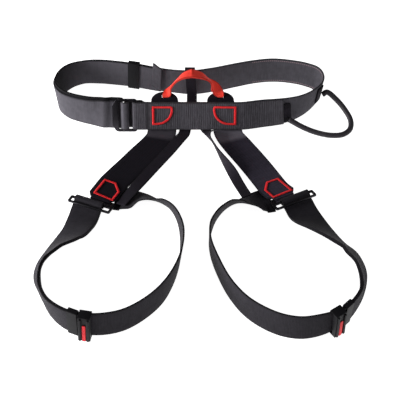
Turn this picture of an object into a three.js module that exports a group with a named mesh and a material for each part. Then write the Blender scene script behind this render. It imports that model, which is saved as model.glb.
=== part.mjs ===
// Half body safety harness lying on a table: a webbing waist belt and two leg loops standing on their
// edges, joined by leg straps and risers, with a belay loop between two tie-in loops.
// Millimetres, +Z up. X runs along the belt, the leg loops lie towards -Y, and the floor is z = 0.
import * as THREE from 'three';

// Driving dimensions
const webbing = { width: 45, thickness: 2.4 };
const riserWebbing = { widths: { stem: 16, left: 18, right: 16 }, thickness: 2 };
const belayWebbing = { thickness: 2.4 };
const gap = 0.3; // clearance between neighbouring pieces
const layer = webbing.thickness + gap; // pitch from one webbing layer to the next
const bar = { thickness: 3, wrap: 4, thinWrap: 3.6 }; // buckle plate, and the webbing's radius round it
const stitch = { line: 3.4, height: 0.8, gap: 0.4 }; // red bartack lines
const tieIn = { width: 42, rise: 14.8, skirt: 15, thickness: 5 };
const tieInSlot = { width: 10.2, low: 4.8, height: 5.8, shifts: { left: 0.9, right: -0.2 } };
const mainFrame = { height: 54, corner: 5, slots: [45.8, 46.2] };
const legFrame = { low: -30, high: 38, rail: 3.6, corner: 4, tilt: 22 };
const legHook = { low: -3, root: 30.2, strap: { low: 7, width: 31 } }; // holds the leg strap's narrowed end
const beltKeeper = { length: 18, wall: 1.2, slot: { low: -0.5, high: 46.3, in: -4.4, out: 1.7 } };
const legKeeper = { length: 17, wall: 0.9, front: 6.8, slot: { low: -0.6, high: 46.2, in: -3.1, out: 4.9 } };
const legElastic = { length: 15, wall: 0.7, front: 0.7, slot: { low: -0.5, high: 46.2, in: -2.6, out: 4.6 } };
const leads = { start: 13.5, belt: 2, panel: 9, legTail: 2.6 }; // webbing beyond the folds and the right bar
const tailLift = { low: 0.5, rise: 4.5, tab: 4, tabRise: 7 }; // tail above the belt, and its end above both
const strapShift = 14; // leg strap's middle beside the buckle's
const keeperStripe = { width: 5, height: 33, thickness: 1, middle: 16 };
const gearTube = { radius: 4.3, sides: 10, steps: 30, ends: { rear: 28, front: 9 } };
const gearTab = { lows: { front: 3, rear: 8 }, height: 33 };
const centre = { x: 1.2, y: 0.8 }; // middle of the harness's own box, moved to the origin

const finishes = {
  grey: { color: 0x4f4e52, roughness: 0.85, metalness: 0 },
  black: { color: 0x252428, roughness: 0.85, metalness: 0 },
  red: { color: 0xe8413c, roughness: 0.7, metalness: 0 },
  steel: { color: 0x4a4b4f, roughness: 0.35, metalness: 0.9 },
  plastic: { color: 0x1d1c1f, roughness: 0.5, metalness: 0 },
};

// Rows of a webbing route follow its lower edge. z is the clearance under its lowest corner. lean is the
// angle of the webbing from upright, towards the inside of the loop or the row's own compass bearing.
const beltRows = [
  { x: -100.3, y: 140.5, z: 5, lean: 25 },
  { x: -76, y: 140.5, z: 5, lean: 25 },
  { x: -40, y: 140.5, z: 5, lean: 25 },
  { x: 0, y: 140.5, z: 5, lean: 25 },
  { x: 32, y: 140.5, z: 5, lean: 25 },
  { x: 66, y: 140.5, z: 5, lean: 25 },
  { x: 81, y: 143, z: 4.5, lean: 25 },
  { x: 98, y: 148, z: 3, lean: 23 },
  { x: 116, y: 153, z: 1.5, lean: 19 },
  { x: 137, y: 160, z: 0.5, lean: 13 },
  { x: 158, y: 173, z: 0, lean: 3 },
  { x: 176, y: 191, z: 0, lean: -5 },
  { x: 188, y: 212, z: 0, lean: -9 },
  { x: 184, y: 231, z: 0, lean: -10 },
  { x: 168, y: 241, z: 0, lean: -9 },
  { x: 144, y: 248, z: 0, lean: -8 },
  { x: 116, y: 250.5, z: 0, lean: -9 },
  { x: 88, y: 247, z: 0, lean: -9 },
  { x: 56, y: 238, z: 0, lean: -11 },
  { x: 24, y: 228.5, z: 0, lean: -12 },
  { x: -13, y: 222.5, z: 0, lean: -11 },
  { x: -50, y: 227, z: 0.5, lean: -7 },
  { x: -80, y: 232.5, z: 1.5, lean: -8 },
  { x: -106, y: 237.5, z: 3.2, lean: -8 },
  { x: -134, y: 243.5, z: 1.5, lean: -9 },
  { x: -160, y: 247.5, z: 0.5, lean: -9 },
  { x: -184, y: 247, z: 0, lean: -8 },
  { x: -205, y: 237.5, z: 0, lean: -9 },
  { x: -219, y: 221, z: 0, lean: -9 },
  { x: -225, y: 202, z: 0, lean: -6 },
  { x: -220, y: 184, z: 0, lean: 0 },
  { x: -206, y: 169.5, z: 0, lean: 6 },
  { x: -186, y: 160, z: 0.5, lean: 9 },
  { x: -165, y: 152, z: 1.5, lean: 14 },
  { x: -148, y: 144, z: 4, lean: 22 },
  { x: -130.7, y: 140.5, z: 5, lean: 25 },
  { x: -115.7, y: 140.5, z: 5, lean: 25 },
];

// Rows where pieces of the belt begin and end, counted along its route
const beltRow = {
  rightBar: 0, startBehind: 0.34, inner: 0.68, round: 1, dLeft: 1.51, leftDome: 1.6, rightDome: 4,
  dRight: 4.18, panelEnd: 8.7, gearFront: 9, gearRear: 11.5, tailEnd: 21.4, tabEnd: 21.9, keeper: 23,
  raised: 25, full: 28, weaveStart: 33.75, leftBar: 34.5, weaveEnd: 35.37, tailStart: 35.75, overBar: 35.8,
  middleBar: 36,
};

const leftLoopRows = [
  { x: -185.5, y: -2.5, z: 4.3, lean: 90 },
  { x: -190, y: -14, z: 2.9, lean: 90 },
  { x: -194, y: -30, z: 1.1, lean: 89 },
  { x: -198, y: -46, z: 0.2, lean: 82 },
  { x: -202, y: -60, z: 0, lean: 72 },
  { x: -209, y: -75, z: 0, lean: 60 },
  { x: -222.5, y: -101, z: 0, lean: 41 },
  { x: -231, y: -119, z: 0, lean: 34 },
  { x: -235, y: -137, z: 0, lean: 26 },
  { x: -233.5, y: -153, z: 0.2, lean: 18 },
  { x: -225, y: -172, z: 0.5, lean: 3 },
  { x: -217, y: -189, z: 1, lean: -5 },
  { x: -205, y: -212, z: 2.2, lean: -6 },
  { x: -185, y: -233, z: 3.2, lean: 0 },
  { x: -160, y: -243.5, z: 3.2, lean: 4 },
  { x: -133, y: -244, z: 2, lean: 5 },
  { x: -104, y: -235, z: 0.4, lean: 4 },
  { x: -76, y: -215, z: 0, lean: 2 },
  { x: -54, y: -190, z: 0, lean: 0 },
  { x: -40, y: -160, z: 0, lean: -4 },
  { x: -31, y: -125, z: 0, lean: -7 },
  { x: -28, y: -90, z: 0, lean: -6 },
  { x: -29, y: -64, z: 0, lean: 1 },
  { x: -33, y: -42, z: 0, lean: 11 },
  { x: -41, y: -21.5, z: 0, lean: 26 },
  { x: -51, y: -10, z: 0, lean: 35 },
  { x: -64, y: 0, z: 0, lean: 45 },
  { x: -78, y: 9, z: 0, lean: 61 },
  { x: -92, y: 15, z: 0, lean: 78 },
  { x: -105, y: 21, z: 0, lean: 88 },
  { x: -114, y: 23.5, z: 0, lean: 90 },
  { x: -123, y: 25, z: 0, lean: 90 },
];

const rightLoopRows = [
  { x: 162, y: 7.5, z: 4.3, lean: 90 },
  { x: 167.5, y: -4, z: 2.9, lean: 90 },
  { x: 174, y: -20, z: 1.1, lean: 88 },
  { x: 182, y: -38, z: 0.2, lean: 74 },
  { x: 193, y: -60, z: 0, lean: 55 },
  { x: 209.5, y: -86, z: 0, lean: 40 },
  { x: 224.5, y: -102, z: 0, lean: 37 },
  { x: 232.5, y: -119.5, z: 0, lean: 36 },
  { x: 236, y: -137, z: 0, lean: 30 },
  { x: 234.5, y: -154.5, z: 0.2, lean: 21 },
  { x: 228, y: -177, z: 0.6, lean: 8 },
  { x: 218.5, y: -197, z: 1.6, lean: -3 },
  { x: 203.5, y: -219.5, z: 2.8, lean: -4 },
  { x: 186, y: -235.5, z: 3.2, lean: 0 },
  { x: 165, y: -246, z: 2.6, lean: 5 },
  { x: 140, y: -250, z: 1.2, lean: 6 },
  { x: 113, y: -245, z: 0.3, lean: 6 },
  { x: 86, y: -231, z: 0, lean: 5 },
  { x: 62, y: -210, z: 0, lean: 3 },
  { x: 42, y: -180, z: 0, lean: 1 },
  { x: 26, y: -142, z: 0, lean: 0 },
  { x: 16, y: -106, z: 0, lean: -1 },
  { x: 14, y: -78, z: 0, lean: 2 },
  { x: 18, y: -54, z: 0, lean: 10 },
  { x: 24, y: -38, z: 0, lean: 17 },
  { x: 34, y: -22, z: 0, lean: 25 },
  { x: 46, y: -10, z: 0, lean: 38 },
  { x: 58, y: -1, z: 0, lean: 57 },
  { x: 70, y: 7.5, z: 0, lean: 76 },
  { x: 83.5, y: 15, z: 0, lean: 86.5 },
  { x: 100, y: 20, z: 0, lean: 90 },
];

// Rows along a leg loop, from its buckle
const legRow = {
  left: { keeper: 14.1, elastic: 13.48, tailEnd: 14.25 },
  right: { keeper: 13, elastic: 12.25, tailEnd: 13.25 },
};
const legStart = { loop: 0.25, dip: 0.2, flat: 0.9, raise: 0.5 }; // loop's first row, and the tail's way down

// Row and place across the leg straps of their red bartacks
const patches = { left: { row: 11, across: 24 }, right: { row: 11.1, across: 24 } };

const leftStrapRows = [
  { x: -82, y: 154.8, z: 29.2, lean: 90, toward: 0 },
  { x: -82, y: 149.7, z: 18.4, lean: 90, toward: 0 },
  { x: -82, y: 145.6, z: 9.3, lean: 90, toward: 0 },
  { x: -82, y: 144.2, z: 4.2, lean: 90, toward: 0 },
  { x: -82, y: 141, z: 1, lean: 90, toward: 0 },
  { x: -83, y: 134, z: 0.2, lean: 90, toward: -4 },
  { x: -90.5, y: 122, z: 0, lean: 90, toward: -20 },
  { x: -104, y: 105, z: 0, lean: 90, toward: -33 },
  { x: -122.5, y: 80, z: 0.3, lean: 90, toward: -35 },
  { x: -139, y: 57, z: 2, lean: 90, toward: -32 },
  { x: -150, y: 40, z: 4.2, lean: 90, toward: -29 },
  { x: -159, y: 22, z: 6.6, lean: 90, toward: -26.5 },
];

const rightStrapRows = [
  { x: 21, y: 154.8, z: 29.2, lean: 90, toward: 0 },
  { x: 21, y: 149.7, z: 18.4, lean: 90, toward: 0 },
  { x: 21, y: 145.6, z: 9.3, lean: 90, toward: 0 },
  { x: 21, y: 144.2, z: 4.2, lean: 90, toward: 0 },
  { x: 21, y: 141, z: 1, lean: 90, toward: 0 },
  { x: 22, y: 134, z: 0.2, lean: 90, toward: 3 },
  { x: 27, y: 120, z: 0, lean: 90, toward: 14 },
  { x: 38, y: 100, z: 0, lean: 90, toward: 25 },
  { x: 57.5, y: 69, z: 0.3, lean: 90, toward: 30 },
  { x: 72, y: 43.5, z: 2, lean: 90, toward: 29 },
  { x: 82, y: 24, z: 4.2, lean: 90, toward: 27 },
  { x: 91.5, y: 6, z: 6.6, lean: 90, toward: 26 },
];

const stemRows = [
  { x: -24, y: 230.7, z: 19.2, lean: 90, toward: 0 },
  { x: -24, y: 233.3, z: 33, lean: 90, toward: 0 },
  { x: -24, y: 235.7, z: 44, lean: 90, toward: 0 },
  { x: -24, y: 231.6, z: 47.4, lean: 90, toward: 0 },
  { x: -23.6, y: 227.6, z: 43.8, lean: 90, toward: 0 },
  { x: -22.6, y: 224.4, z: 26, lean: 90, toward: 0 },
  { x: -21.6, y: 221, z: 7.4, lean: 90, toward: 0 },
  { x: -21, y: 218.6, z: 2.6, lean: 90, toward: 0 },
  { x: -21, y: 213, z: 0.4, lean: 90, toward: 0 },
  { x: -21, y: 190, z: 0.4, lean: 90, toward: 0 },
  { x: -21, y: 174, z: 2.4, lean: 90, toward: 0 },
  { x: -21, y: 156, z: 2.4, lean: 90, toward: 0 },
];

const leftRiserRows = [
  { x: -30, y: 172, z: 0, lean: 90, toward: 0 },
  { x: -30, y: 158, z: 0, lean: 90, toward: 0 },
  { x: -32, y: 146, z: 0, lean: 90, toward: -6 },
  { x: -33.5, y: 137, z: 0, lean: 90, toward: -14 },
  { x: -39.5, y: 125, z: 3.2, lean: 90, toward: -26 },
  { x: -54, y: 102, z: 3, lean: 90, toward: -30 },
  { x: -75, y: 71, z: 3.2, lean: 90, toward: -31 },
  { x: -95, y: 40, z: 4.6, lean: 90, toward: -31 },
  { x: -109, y: 16, z: 6, lean: 82, toward: -31 },
  { x: -125, y: -13, z: 6.2, lean: 72, toward: -31 },
];

const rightRiserRows = [
  { x: -12, y: 172, z: 0, lean: 90, toward: 0 },
  { x: -10, y: 158, z: 0, lean: 90, toward: 0 },
  { x: -1, y: 146, z: 0, lean: 87, toward: 0 },
  { x: 4.3, y: 136.5, z: 0, lean: 78, toward: 2 },
  { x: 11.6, y: 128, z: 0.2, lean: 26, toward: 8 },
  { x: 18, y: 119.5, z: 0.2, lean: -10, toward: 13 },
  { x: 22.5, y: 109.5, z: 0.2, lean: -15, toward: 20 },
  { x: 30.5, y: 86, z: 0.4, lean: -2, toward: 27 },
  { x: 39.5, y: 58, z: 1, lean: 32, toward: 30 },
  { x: 48, y: 32, z: 3.6, lean: 74, toward: 29 },
  { x: 55.5, y: 11, z: 9, lean: 90, toward: 27 },
  { x: 63, y: -8, z: 13, lean: 90, toward: 25 },
];

// The belay loop's rows follow its middle. It comes down in front of each tie-in loop, is gathered to go
// through the slot there and runs behind the belt. lean and toward give the direction of its width.
const belayRows = [
  { x: -12, y: 174, z: 94, lean: 90, toward: 90, width: 18 },
  { x: -25, y: 173.5, z: 89.5, lean: 106, toward: 92, width: 18 },
  { x: -36, y: 172, z: 80, lean: 130, toward: 96, width: 16 },
  { x: -45, y: 169, z: 68, lean: 132, toward: 108, width: 13 },
  { x: -51, y: 164, z: 60, lean: 96, toward: 172, width: 13 },
  { x: -53.5, y: 163.3, z: 55.5, lean: 90, toward: 180, width: 10 },
  { x: -53.5, y: 166.2, z: 51, lean: 90, toward: 180, width: 9 },
  { x: -53.5, y: 171, z: 47.6, lean: 90, toward: 180, width: 9 },
  { x: -51, y: 173, z: 41, lean: 92, toward: 180, width: 10 },
  { x: -44, y: 169, z: 32, lean: 125, toward: 185, width: 14 },
  { x: -30, y: 165, z: 28, lean: 165, toward: 200, width: 16 },
  { x: -11, y: 164, z: 27, lean: 180, toward: 270, width: 16 },
  { x: 9, y: 165, z: 28, lean: 165, toward: 340, width: 16 },
  { x: 23, y: 169, z: 32, lean: 125, toward: 355, width: 14 },
  { x: 30.6, y: 173, z: 41, lean: 92, toward: 360, width: 10 },
  { x: 31.8, y: 171, z: 47.6, lean: 90, toward: 360, width: 9 },
  { x: 31.8, y: 166.2, z: 51, lean: 90, toward: 360, width: 9 },
  { x: 31.6, y: 163.3, z: 55.5, lean: 90, toward: 360, width: 10 },
  { x: 30, y: 163.6, z: 60, lean: 92, toward: 364, width: 15 },
  { x: 24, y: 169, z: 68, lean: 106, toward: 388, width: 17 },
  { x: 15, y: 172, z: 80, lean: 130, toward: 440, width: 16 },
  { x: 3, y: 173.5, z: 89.5, lean: 106, toward: 448, width: 18 },
  { x: -12, y: 174, z: 94, lean: 90, toward: 450, width: 18 },
];

// The sleeved gear loop lies out to the side, between its two tabs on the belt
const gearPoints = [
  { x: 200, y: 196, z: 31 },
  { x: 214, y: 188, z: 24 },
  { x: 228, y: 172, z: 16 },
  { x: 236.5, y: 155, z: 9 },
  { x: 234.5, y: 140, z: 5.6 },
  { x: 223, y: 130, z: 4.4 },
  { x: 204, y: 128, z: 4.4 },
  { x: 183, y: 133.5, z: 4.4 },
  { x: 163, y: 142, z: 6.5 },
];

// Outlines of the red bartacks, as points across and along the webbing
const dOutline = {
  widths: { left: 32.5, right: 36 }, height: 31, round: 25, corner: 4, steps: 6, raise: 1.5,
};
const pentagonOutline = [
  { across: -17, along: -18.5 },
  { across: 3, along: -19.5 },
  { across: 17, along: -4.5 },
  { across: 17, along: 17.5 },
  { across: -17, along: 16.5 },
];

// Bars of the buckles: place and width along the webbing
const buckleBars = [{ at: -15.8, width: 10.4 }, { at: 0, width: 4 }, { at: 15.4, width: 4 }];
const legBars = {
  upper: { at: -10.8, width: 3 }, middle: { at: 0, width: 4 }, lower: { at: 12, width: 3.4 },
};

const up = new THREE.Vector3(0, 0, 1);
const harness = new THREE.Group();
harness.position.set(-centre.x, -centre.y, 0);

function piece(name, geometry, finish, placed) {
  const mesh = new THREE.Mesh(geometry, new THREE.MeshStandardMaterial(finishes[finish]));
  mesh.name = name;
  if (placed) {
    const basis = new THREE.Matrix4().makeBasis(placed.x, placed.y, placed.z);
    mesh.quaternion.setFromRotationMatrix(basis);
    mesh.position.copy(placed.origin);
  }
  harness.add(mesh);
}

// A route answers, for any row number, the section of the webbing there: the foot of its lower edge and
// the directions along, across and out of it. A hand of -1 is a loop that runs clockwise.
function route(rows, { hand = 1, thickness = webbing.thickness, rests = true } = {}) {
  const edge = new THREE.CatmullRomCurve3(rows.map((row) => new THREE.Vector3(row.x, row.y, row.z)));
  const angles = rows.map((row) => new THREE.Vector3(row.lean, row.toward ?? 0, 0));
  const turn = new THREE.CatmullRomCurve3(angles, false, 'catmullrom');
  const bearings = rows[0].toward !== undefined;
  return function section(row) {
    const t = row / (rows.length - 1);
    const foot = edge.getPoint(t);
    const along = edge.getTangent(t);
    const here = turn.getPoint(t).multiplyScalar(Math.PI / 180);
    const side = bearings
      ? new THREE.Vector3(Math.cos(here.y), Math.sin(here.y), 0)
      : new THREE.Vector3(-along.y, along.x, 0).normalize().multiplyScalar(hand);
    const across = side.multiplyScalar(Math.sin(here.x)).addScaledVector(up, Math.cos(here.x));
    if (!bearings || !rests) across.addScaledVector(along, -across.dot(along)).normalize();
    const out = along.clone().cross(across).multiplyScalar(hand).normalize();
    if (rests) foot.z += (thickness / 2) * Math.abs(out.z);
    return { foot, along, across, out };
  };
}

function moved(section, { out = 0, across = 0, along = 0 }) {
  const foot = section.foot.clone();
  foot.addScaledVector(section.out, out).addScaledVector(section.across, across);
  foot.addScaledVector(section.along, along);
  return { ...section, foot };
}

function run(section, from, to, { out = () => 0, raise = () => 0, steps = 4 } = {}) {
  const count = Math.round(Math.abs(to - from) * steps);
  return Array.from({ length: count + 1 }, (_, i) => {
    const row = from + ((to - from) * i) / count;
    return moved(section(row), { out: out(row), across: raise(row) });
  });
}

// Webbing folded round a bar on the inner side of a section, after it or before it
function fold(section, radius, degrees, { before = false, lead = 0, steps = 8 } = {}) {
  const sense = before ? -1 : 1;
  const middle = moved(section, { out: -radius }).foot;
  const turned = Array.from({ length: steps }, (_, i) => {
    const angle = (((i + 1) / steps) * degrees * Math.PI) / 180;
    const out = section.out.clone().multiplyScalar(Math.cos(angle));
    out.addScaledVector(section.along, sense * Math.sin(angle));
    const along = section.along.clone().multiplyScalar(Math.cos(angle));
    along.addScaledVector(section.out, -sense * Math.sin(angle));
    return { foot: middle.clone().addScaledVector(out, radius), along, across: section.across, out };
  });
  if (lead) turned.push(moved(turned[turned.length - 1], { along: sense * lead }));
  return before ? turned.reverse() : turned;
}

// A closed strip of webbing through its sections. A section's own span replaces the strip's edge and width.
function loft(sections, { width, thickness } = webbing, { low = 0, ring = false } = {}) {
  const positions = [];
  for (const { foot, across, out, span = { low, width } } of sections) {
    const high = span.low + span.width;
    for (const [height, face] of [[span.low, -1], [span.low, 1], [high, 1], [high, -1]]) {
      const corner = foot.clone().addScaledVector(across, height);
      corner.addScaledVector(out, (face * thickness) / 2).toArray(positions, positions.length);
    }
  }
  const triangles = [];
  const last = sections.length - 1;
  for (let i = 0; i < sections.length - (ring ? 0 : 1); i++) {
    const here = i * 4;
    const next = ((i + 1) % sections.length) * 4;
    for (let k = 0; k < 4; k++) {
      const m = (k + 1) % 4;
      if (k < 2) triangles.push(here + k, next + k, next + m, here + k, next + m, here + m);
      else triangles.push(here + k, next + k, here + m, next + k, next + m, here + m);
    }
  }
  if (!ring) {
    const end = last * 4;
    triangles.push(0, 1, 2, 0, 2, 3, end, end + 2, end + 1, end, end + 3, end + 2);
  }
  return facingOut(positions, triangles);
}

function facingOut(positions, triangles) {
  const point = (i) => new THREE.Vector3().fromArray(positions, triangles[i] * 3);
  let volume = 0;
  for (let i = 0; i < triangles.length; i += 3) volume += point(i).dot(point(i + 1).cross(point(i + 2)));
  if (volume < 0) triangles.reverse();
  const geometry = new THREE.BufferGeometry();
  geometry.setAttribute('position', new THREE.Float32BufferAttribute(positions, 3));
  geometry.setIndex(triangles);
  return geometry;
}

const ease = (row, start, end) => THREE.MathUtils.smoothstep(row, start, end);

// Axes for a plate that lies on the webbing: its x along, its y across and its z out of the webbing
function onWebbing(section, hand = 1) {
  return {
    x: section.along.clone().multiplyScalar(hand),
    y: section.across,
    z: section.out,
    origin: section.foot,
  };
}

// Axes for a ring round the webbing: its x across, its y out and its z along
function roundWebbing(section, hand = 1) {
  return {
    x: section.across,
    y: section.out,
    z: section.along.clone().multiplyScalar(hand),
    origin: section.foot,
  };
}

function rectangle(x0, y0, x1, y1, Kind = THREE.Path) {
  const path = new Kind();
  path.moveTo(x0, y0).lineTo(x1, y0).lineTo(x1, y1).lineTo(x0, y1).closePath();
  return path;
}

function roundedRectangle(x0, y0, x1, y1, r) {
  const shape = new THREE.Shape();
  shape.absarc(x1 - r, y0 + r, r, -Math.PI / 2, 0);
  shape.absarc(x1 - r, y1 - r, r, 0, Math.PI / 2);
  shape.absarc(x0 + r, y1 - r, r, Math.PI / 2, Math.PI);
  shape.absarc(x0 + r, y0 + r, r, Math.PI, 1.5 * Math.PI);
  return shape.closePath();
}

function plate(shape, depth) {
  const geometry = new THREE.ExtrudeGeometry(shape, { depth, bevelEnabled: false, curveSegments: 5 });
  return geometry.translate(0, 0, -depth / 2);
}

// A buckle plate: bars at the given places along it, between slots
function buckleFrame(frame, bars) {
  const ends = [bars[0].at - bars[0].width / 2, bars[bars.length - 1].at + bars[bars.length - 1].width / 2];
  const half = frame.height / 2;
  const shape = roundedRectangle(ends[0], -half, ends[1], half, frame.corner);
  for (let i = 0; i + 1 < bars.length; i++) {
    const from = bars[i].at + bars[i].width / 2;
    const to = bars[i + 1].at - bars[i + 1].width / 2;
    shape.holes.push(rectangle(from, -frame.slots[i] / 2, to, frame.slots[i] / 2));
  }
  return plate(shape, bar.thickness);
}

// A leg buckle's plate: a long slot for the tail between the middle and lower bars, and beside it a hook
// for the end of the leg strap
function legBucklePlate(hand) {
  const { low, high, rail, corner } = legFrame;
  const { upper, middle, lower } = legBars;
  const top = upper.at - upper.width / 2;
  const slotTop = upper.at + upper.width / 2;
  const shoulder = middle.at - middle.width / 2;
  const bottom = lower.at + lower.width / 2;
  const outline = [
    [top, legHook.low], [top, high - corner], [top + corner, high], [bottom - corner, high],
    [bottom, high - corner], [bottom, low + corner], [bottom - corner, low], [shoulder + corner, low],
    [shoulder, low + corner], [shoulder, legHook.root], [slotTop, legHook.root], [slotTop, legHook.low],
  ];
  const shape = new THREE.Shape(outline.map(([along, across]) => new THREE.Vector2(hand * along, across)));
  const slotEnds = [middle.at + middle.width / 2, lower.at - lower.width / 2];
  shape.holes.push(rectangle(hand * slotEnds[0], low + rail, hand * slotEnds[1], high - rail));
  return plate(shape, bar.thickness);
}

function keeperRing({ slot, wall, front = wall, length }) {
  const shape = rectangle(slot.low - wall, slot.in - wall, slot.high + wall, slot.out + front, THREE.Shape);
  shape.holes.push(rectangle(slot.low, slot.in, slot.high, slot.out));
  return plate(shape, length);
}

// The outline of a convex figure moved inwards by a distance
function inset(points, distance) {
  const edges = points.map((from, i) => {
    const along = points[(i + 1) % points.length].clone().sub(from).normalize();
    const normal = new THREE.Vector2(-along.y, along.x);
    return { from: from.clone().addScaledVector(normal, distance), along };
  });
  return edges.map((edge, i) => {
    const before = edges[(i + edges.length - 1) % edges.length];
    const apart = edge.from.clone().sub(before.from);
    const reach = apart.cross(edge.along) / before.along.cross(edge.along);
    return before.from.clone().addScaledVector(before.along, reach);
  });
}

function bartack(points) {
  const counterclockwise = THREE.ShapeUtils.isClockWise(points) ? [...points].reverse() : points;
  const shape = new THREE.Shape(counterclockwise);
  shape.holes.push(new THREE.Path(inset(counterclockwise, stitch.line)));
  return plate(shape, stitch.height);
}

// Waist belt. It starts behind the front panel's fold, goes round to the buckle, passes behind its left bar
// and folds over its middle bar. Its tail doubles back inside it as far as the folded end at the back.
const belt = route(beltRows);
const outerFold = layer; // the webbing over a bar stands one layer proud of the belt
const frameOut = outerFold - bar.wrap;
const behindBar = frameOut - bar.thickness / 2 - webbing.thickness / 2 - 2 * gap;
const weave = {
  down: (row) => behindBar * ease(row, beltRow.weaveStart, beltRow.leftBar),
  over: (row) => (outerFold - behindBar) * ease(row, beltRow.weaveEnd, beltRow.overBar),
};
const startOut = outerFold - 2 * bar.wrap - webbing.thickness - 2 * gap;
const fromStart = (row) => startOut * (1 - ease(row, beltRow.startBehind, beltRow.inner));
const beltOut = (row) => fromStart(row) + weave.down(row) + weave.over(row);
const behindRun = run(belt, beltRow.rightBar, beltRow.inner, { out: beltOut, steps: 20 });
const beltRun = run(belt, beltRow.round, beltRow.middleBar, { out: beltOut });
const beltStart = moved(behindRun[0], { along: -leads.start });
const beltFold = fold(beltRun[beltRun.length - 1], bar.wrap, 180, { lead: leads.belt });
piece('waist_belt', loft([beltStart, ...behindRun, ...beltRun, ...beltFold]), 'grey');

const tailOut = (row) => {
  const behind = ease(row, beltRow.weaveStart, beltRow.leftBar);
  const toFold = outerFold - 2 * bar.wrap - behindBar + layer;
  return behindBar * behind - layer + toFold * ease(row, beltRow.weaveEnd, beltRow.tailStart);
};
const tailRaise = (row) => tailLift.low + tailLift.rise * ease(row, beltRow.raised, beltRow.full);
const tailRun = run(belt, beltRow.tailEnd, beltRow.tailStart, { out: tailOut, raise: tailRaise });
piece('belt_tail', loft(tailRun), 'grey');
const tabRaise = (row) => tailLift.tab + tailLift.tabRise * ease(row, beltRow.tailEnd, beltRow.tabEnd);
const tabRun = run(belt, beltRow.tailEnd, beltRow.tabEnd, { out: () => -2 * layer, raise: tabRaise });
piece('belt_tail_end', loft(tabRun), 'black');

// Front panel, folded round the buckle's right bar
const panelRun = run(belt, beltRow.rightBar, beltRow.panelEnd, { out: () => outerFold });
const panelFold = fold(panelRun[0], bar.wrap, 180, { before: true, lead: leads.panel });
piece('front_panel', loft([...panelFold, ...panelRun]), 'grey');

// Waist buckle
const bucklePlace = moved(belt(beltRow.middleBar), { out: frameOut, across: webbing.width / 2 });
piece('buckle_frame', buckleFrame(mainFrame, buckleBars), 'steel', onWebbing(bucklePlace));

// Keeper round the belt and its tail
piece('belt_keeper', keeperRing(beltKeeper), 'plastic', roundWebbing(belt(beltRow.keeper)));

// Red D-shaped bartacks on the front panel. The rounded corner is the one towards the middle.
for (const [side, row, facing] of [['left', beltRow.dLeft, 1], ['right', beltRow.dRight, -1]]) {
  const { height, round, corner, steps } = dOutline;
  const width = dOutline.widths[side];
  const points = [];
  const arc = (x, y, r, from) => {
    for (let i = 0; i <= steps; i++) {
      const angle = ((from + (90 * i) / steps) * Math.PI) / 180;
      points.push(new THREE.Vector2(facing * (x + r * Math.cos(angle)), y + r * Math.sin(angle)));
    }
  };
  points.push(new THREE.Vector2((-facing * width) / 2, height / 2));
  points.push(new THREE.Vector2((-facing * width) / 2, -height / 2));
  arc(width / 2 - round, round - height / 2, round, -90);
  arc(width / 2 - corner, height / 2 - corner, corner, 0);
  const out = outerFold + webbing.thickness / 2 + stitch.gap + stitch.height / 2;
  const place = moved(belt(row), { out, across: webbing.width / 2 + dOutline.raise });
  piece(`d_stitch_${side}`, bartack(points), 'red', onWebbing(place));
}

// Tie-in loops: doubled webbing behind the belt, domed above its top edge, with a slot for the belay loop
for (const [side, row] of [['left', beltRow.leftDome], ['right', beltRow.rightDome]]) {
  const half = tieIn.width / 2;
  const dome = new THREE.Shape();
  dome.moveTo(-half, -tieIn.skirt).lineTo(half, -tieIn.skirt).lineTo(half, 0);
  dome.absellipse(0, 0, half, tieIn.rise, 0, Math.PI).closePath();
  const { width, low, height } = tieInSlot;
  const edge = tieInSlot.shifts[side] - width / 2;
  dome.holes.push(rectangle(edge, low, edge + width, low + height));
  const out = -(webbing.thickness + tieIn.thickness) / 2 - gap;
  const place = moved(belt(row), { out, across: webbing.width });
  const geometry = new THREE.ExtrudeGeometry(dome, {
    depth: tieIn.thickness,
    bevelEnabled: false,
    curveSegments: 12,
  });
  piece(`tie_in_loop_${side}`, geometry.translate(0, 0, -tieIn.thickness / 2), 'black', onWebbing(place));
}

// Belay loop, one closed band
const belay = route(belayRows, { rests: false });
const belayCount = 4 * (belayRows.length - 1);
const belayRun = Array.from({ length: belayCount }, (_, i) => {
  const row = Math.floor(i / 4);
  const width = THREE.MathUtils.lerp(belayRows[row].width, belayRows[row + 1].width, i / 4 - row);
  return { ...belay(i / 4), span: { low: -width / 2, width } };
});
piece('belay_loop', loft(belayRun, belayWebbing, { ring: true }), 'red');

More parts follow.
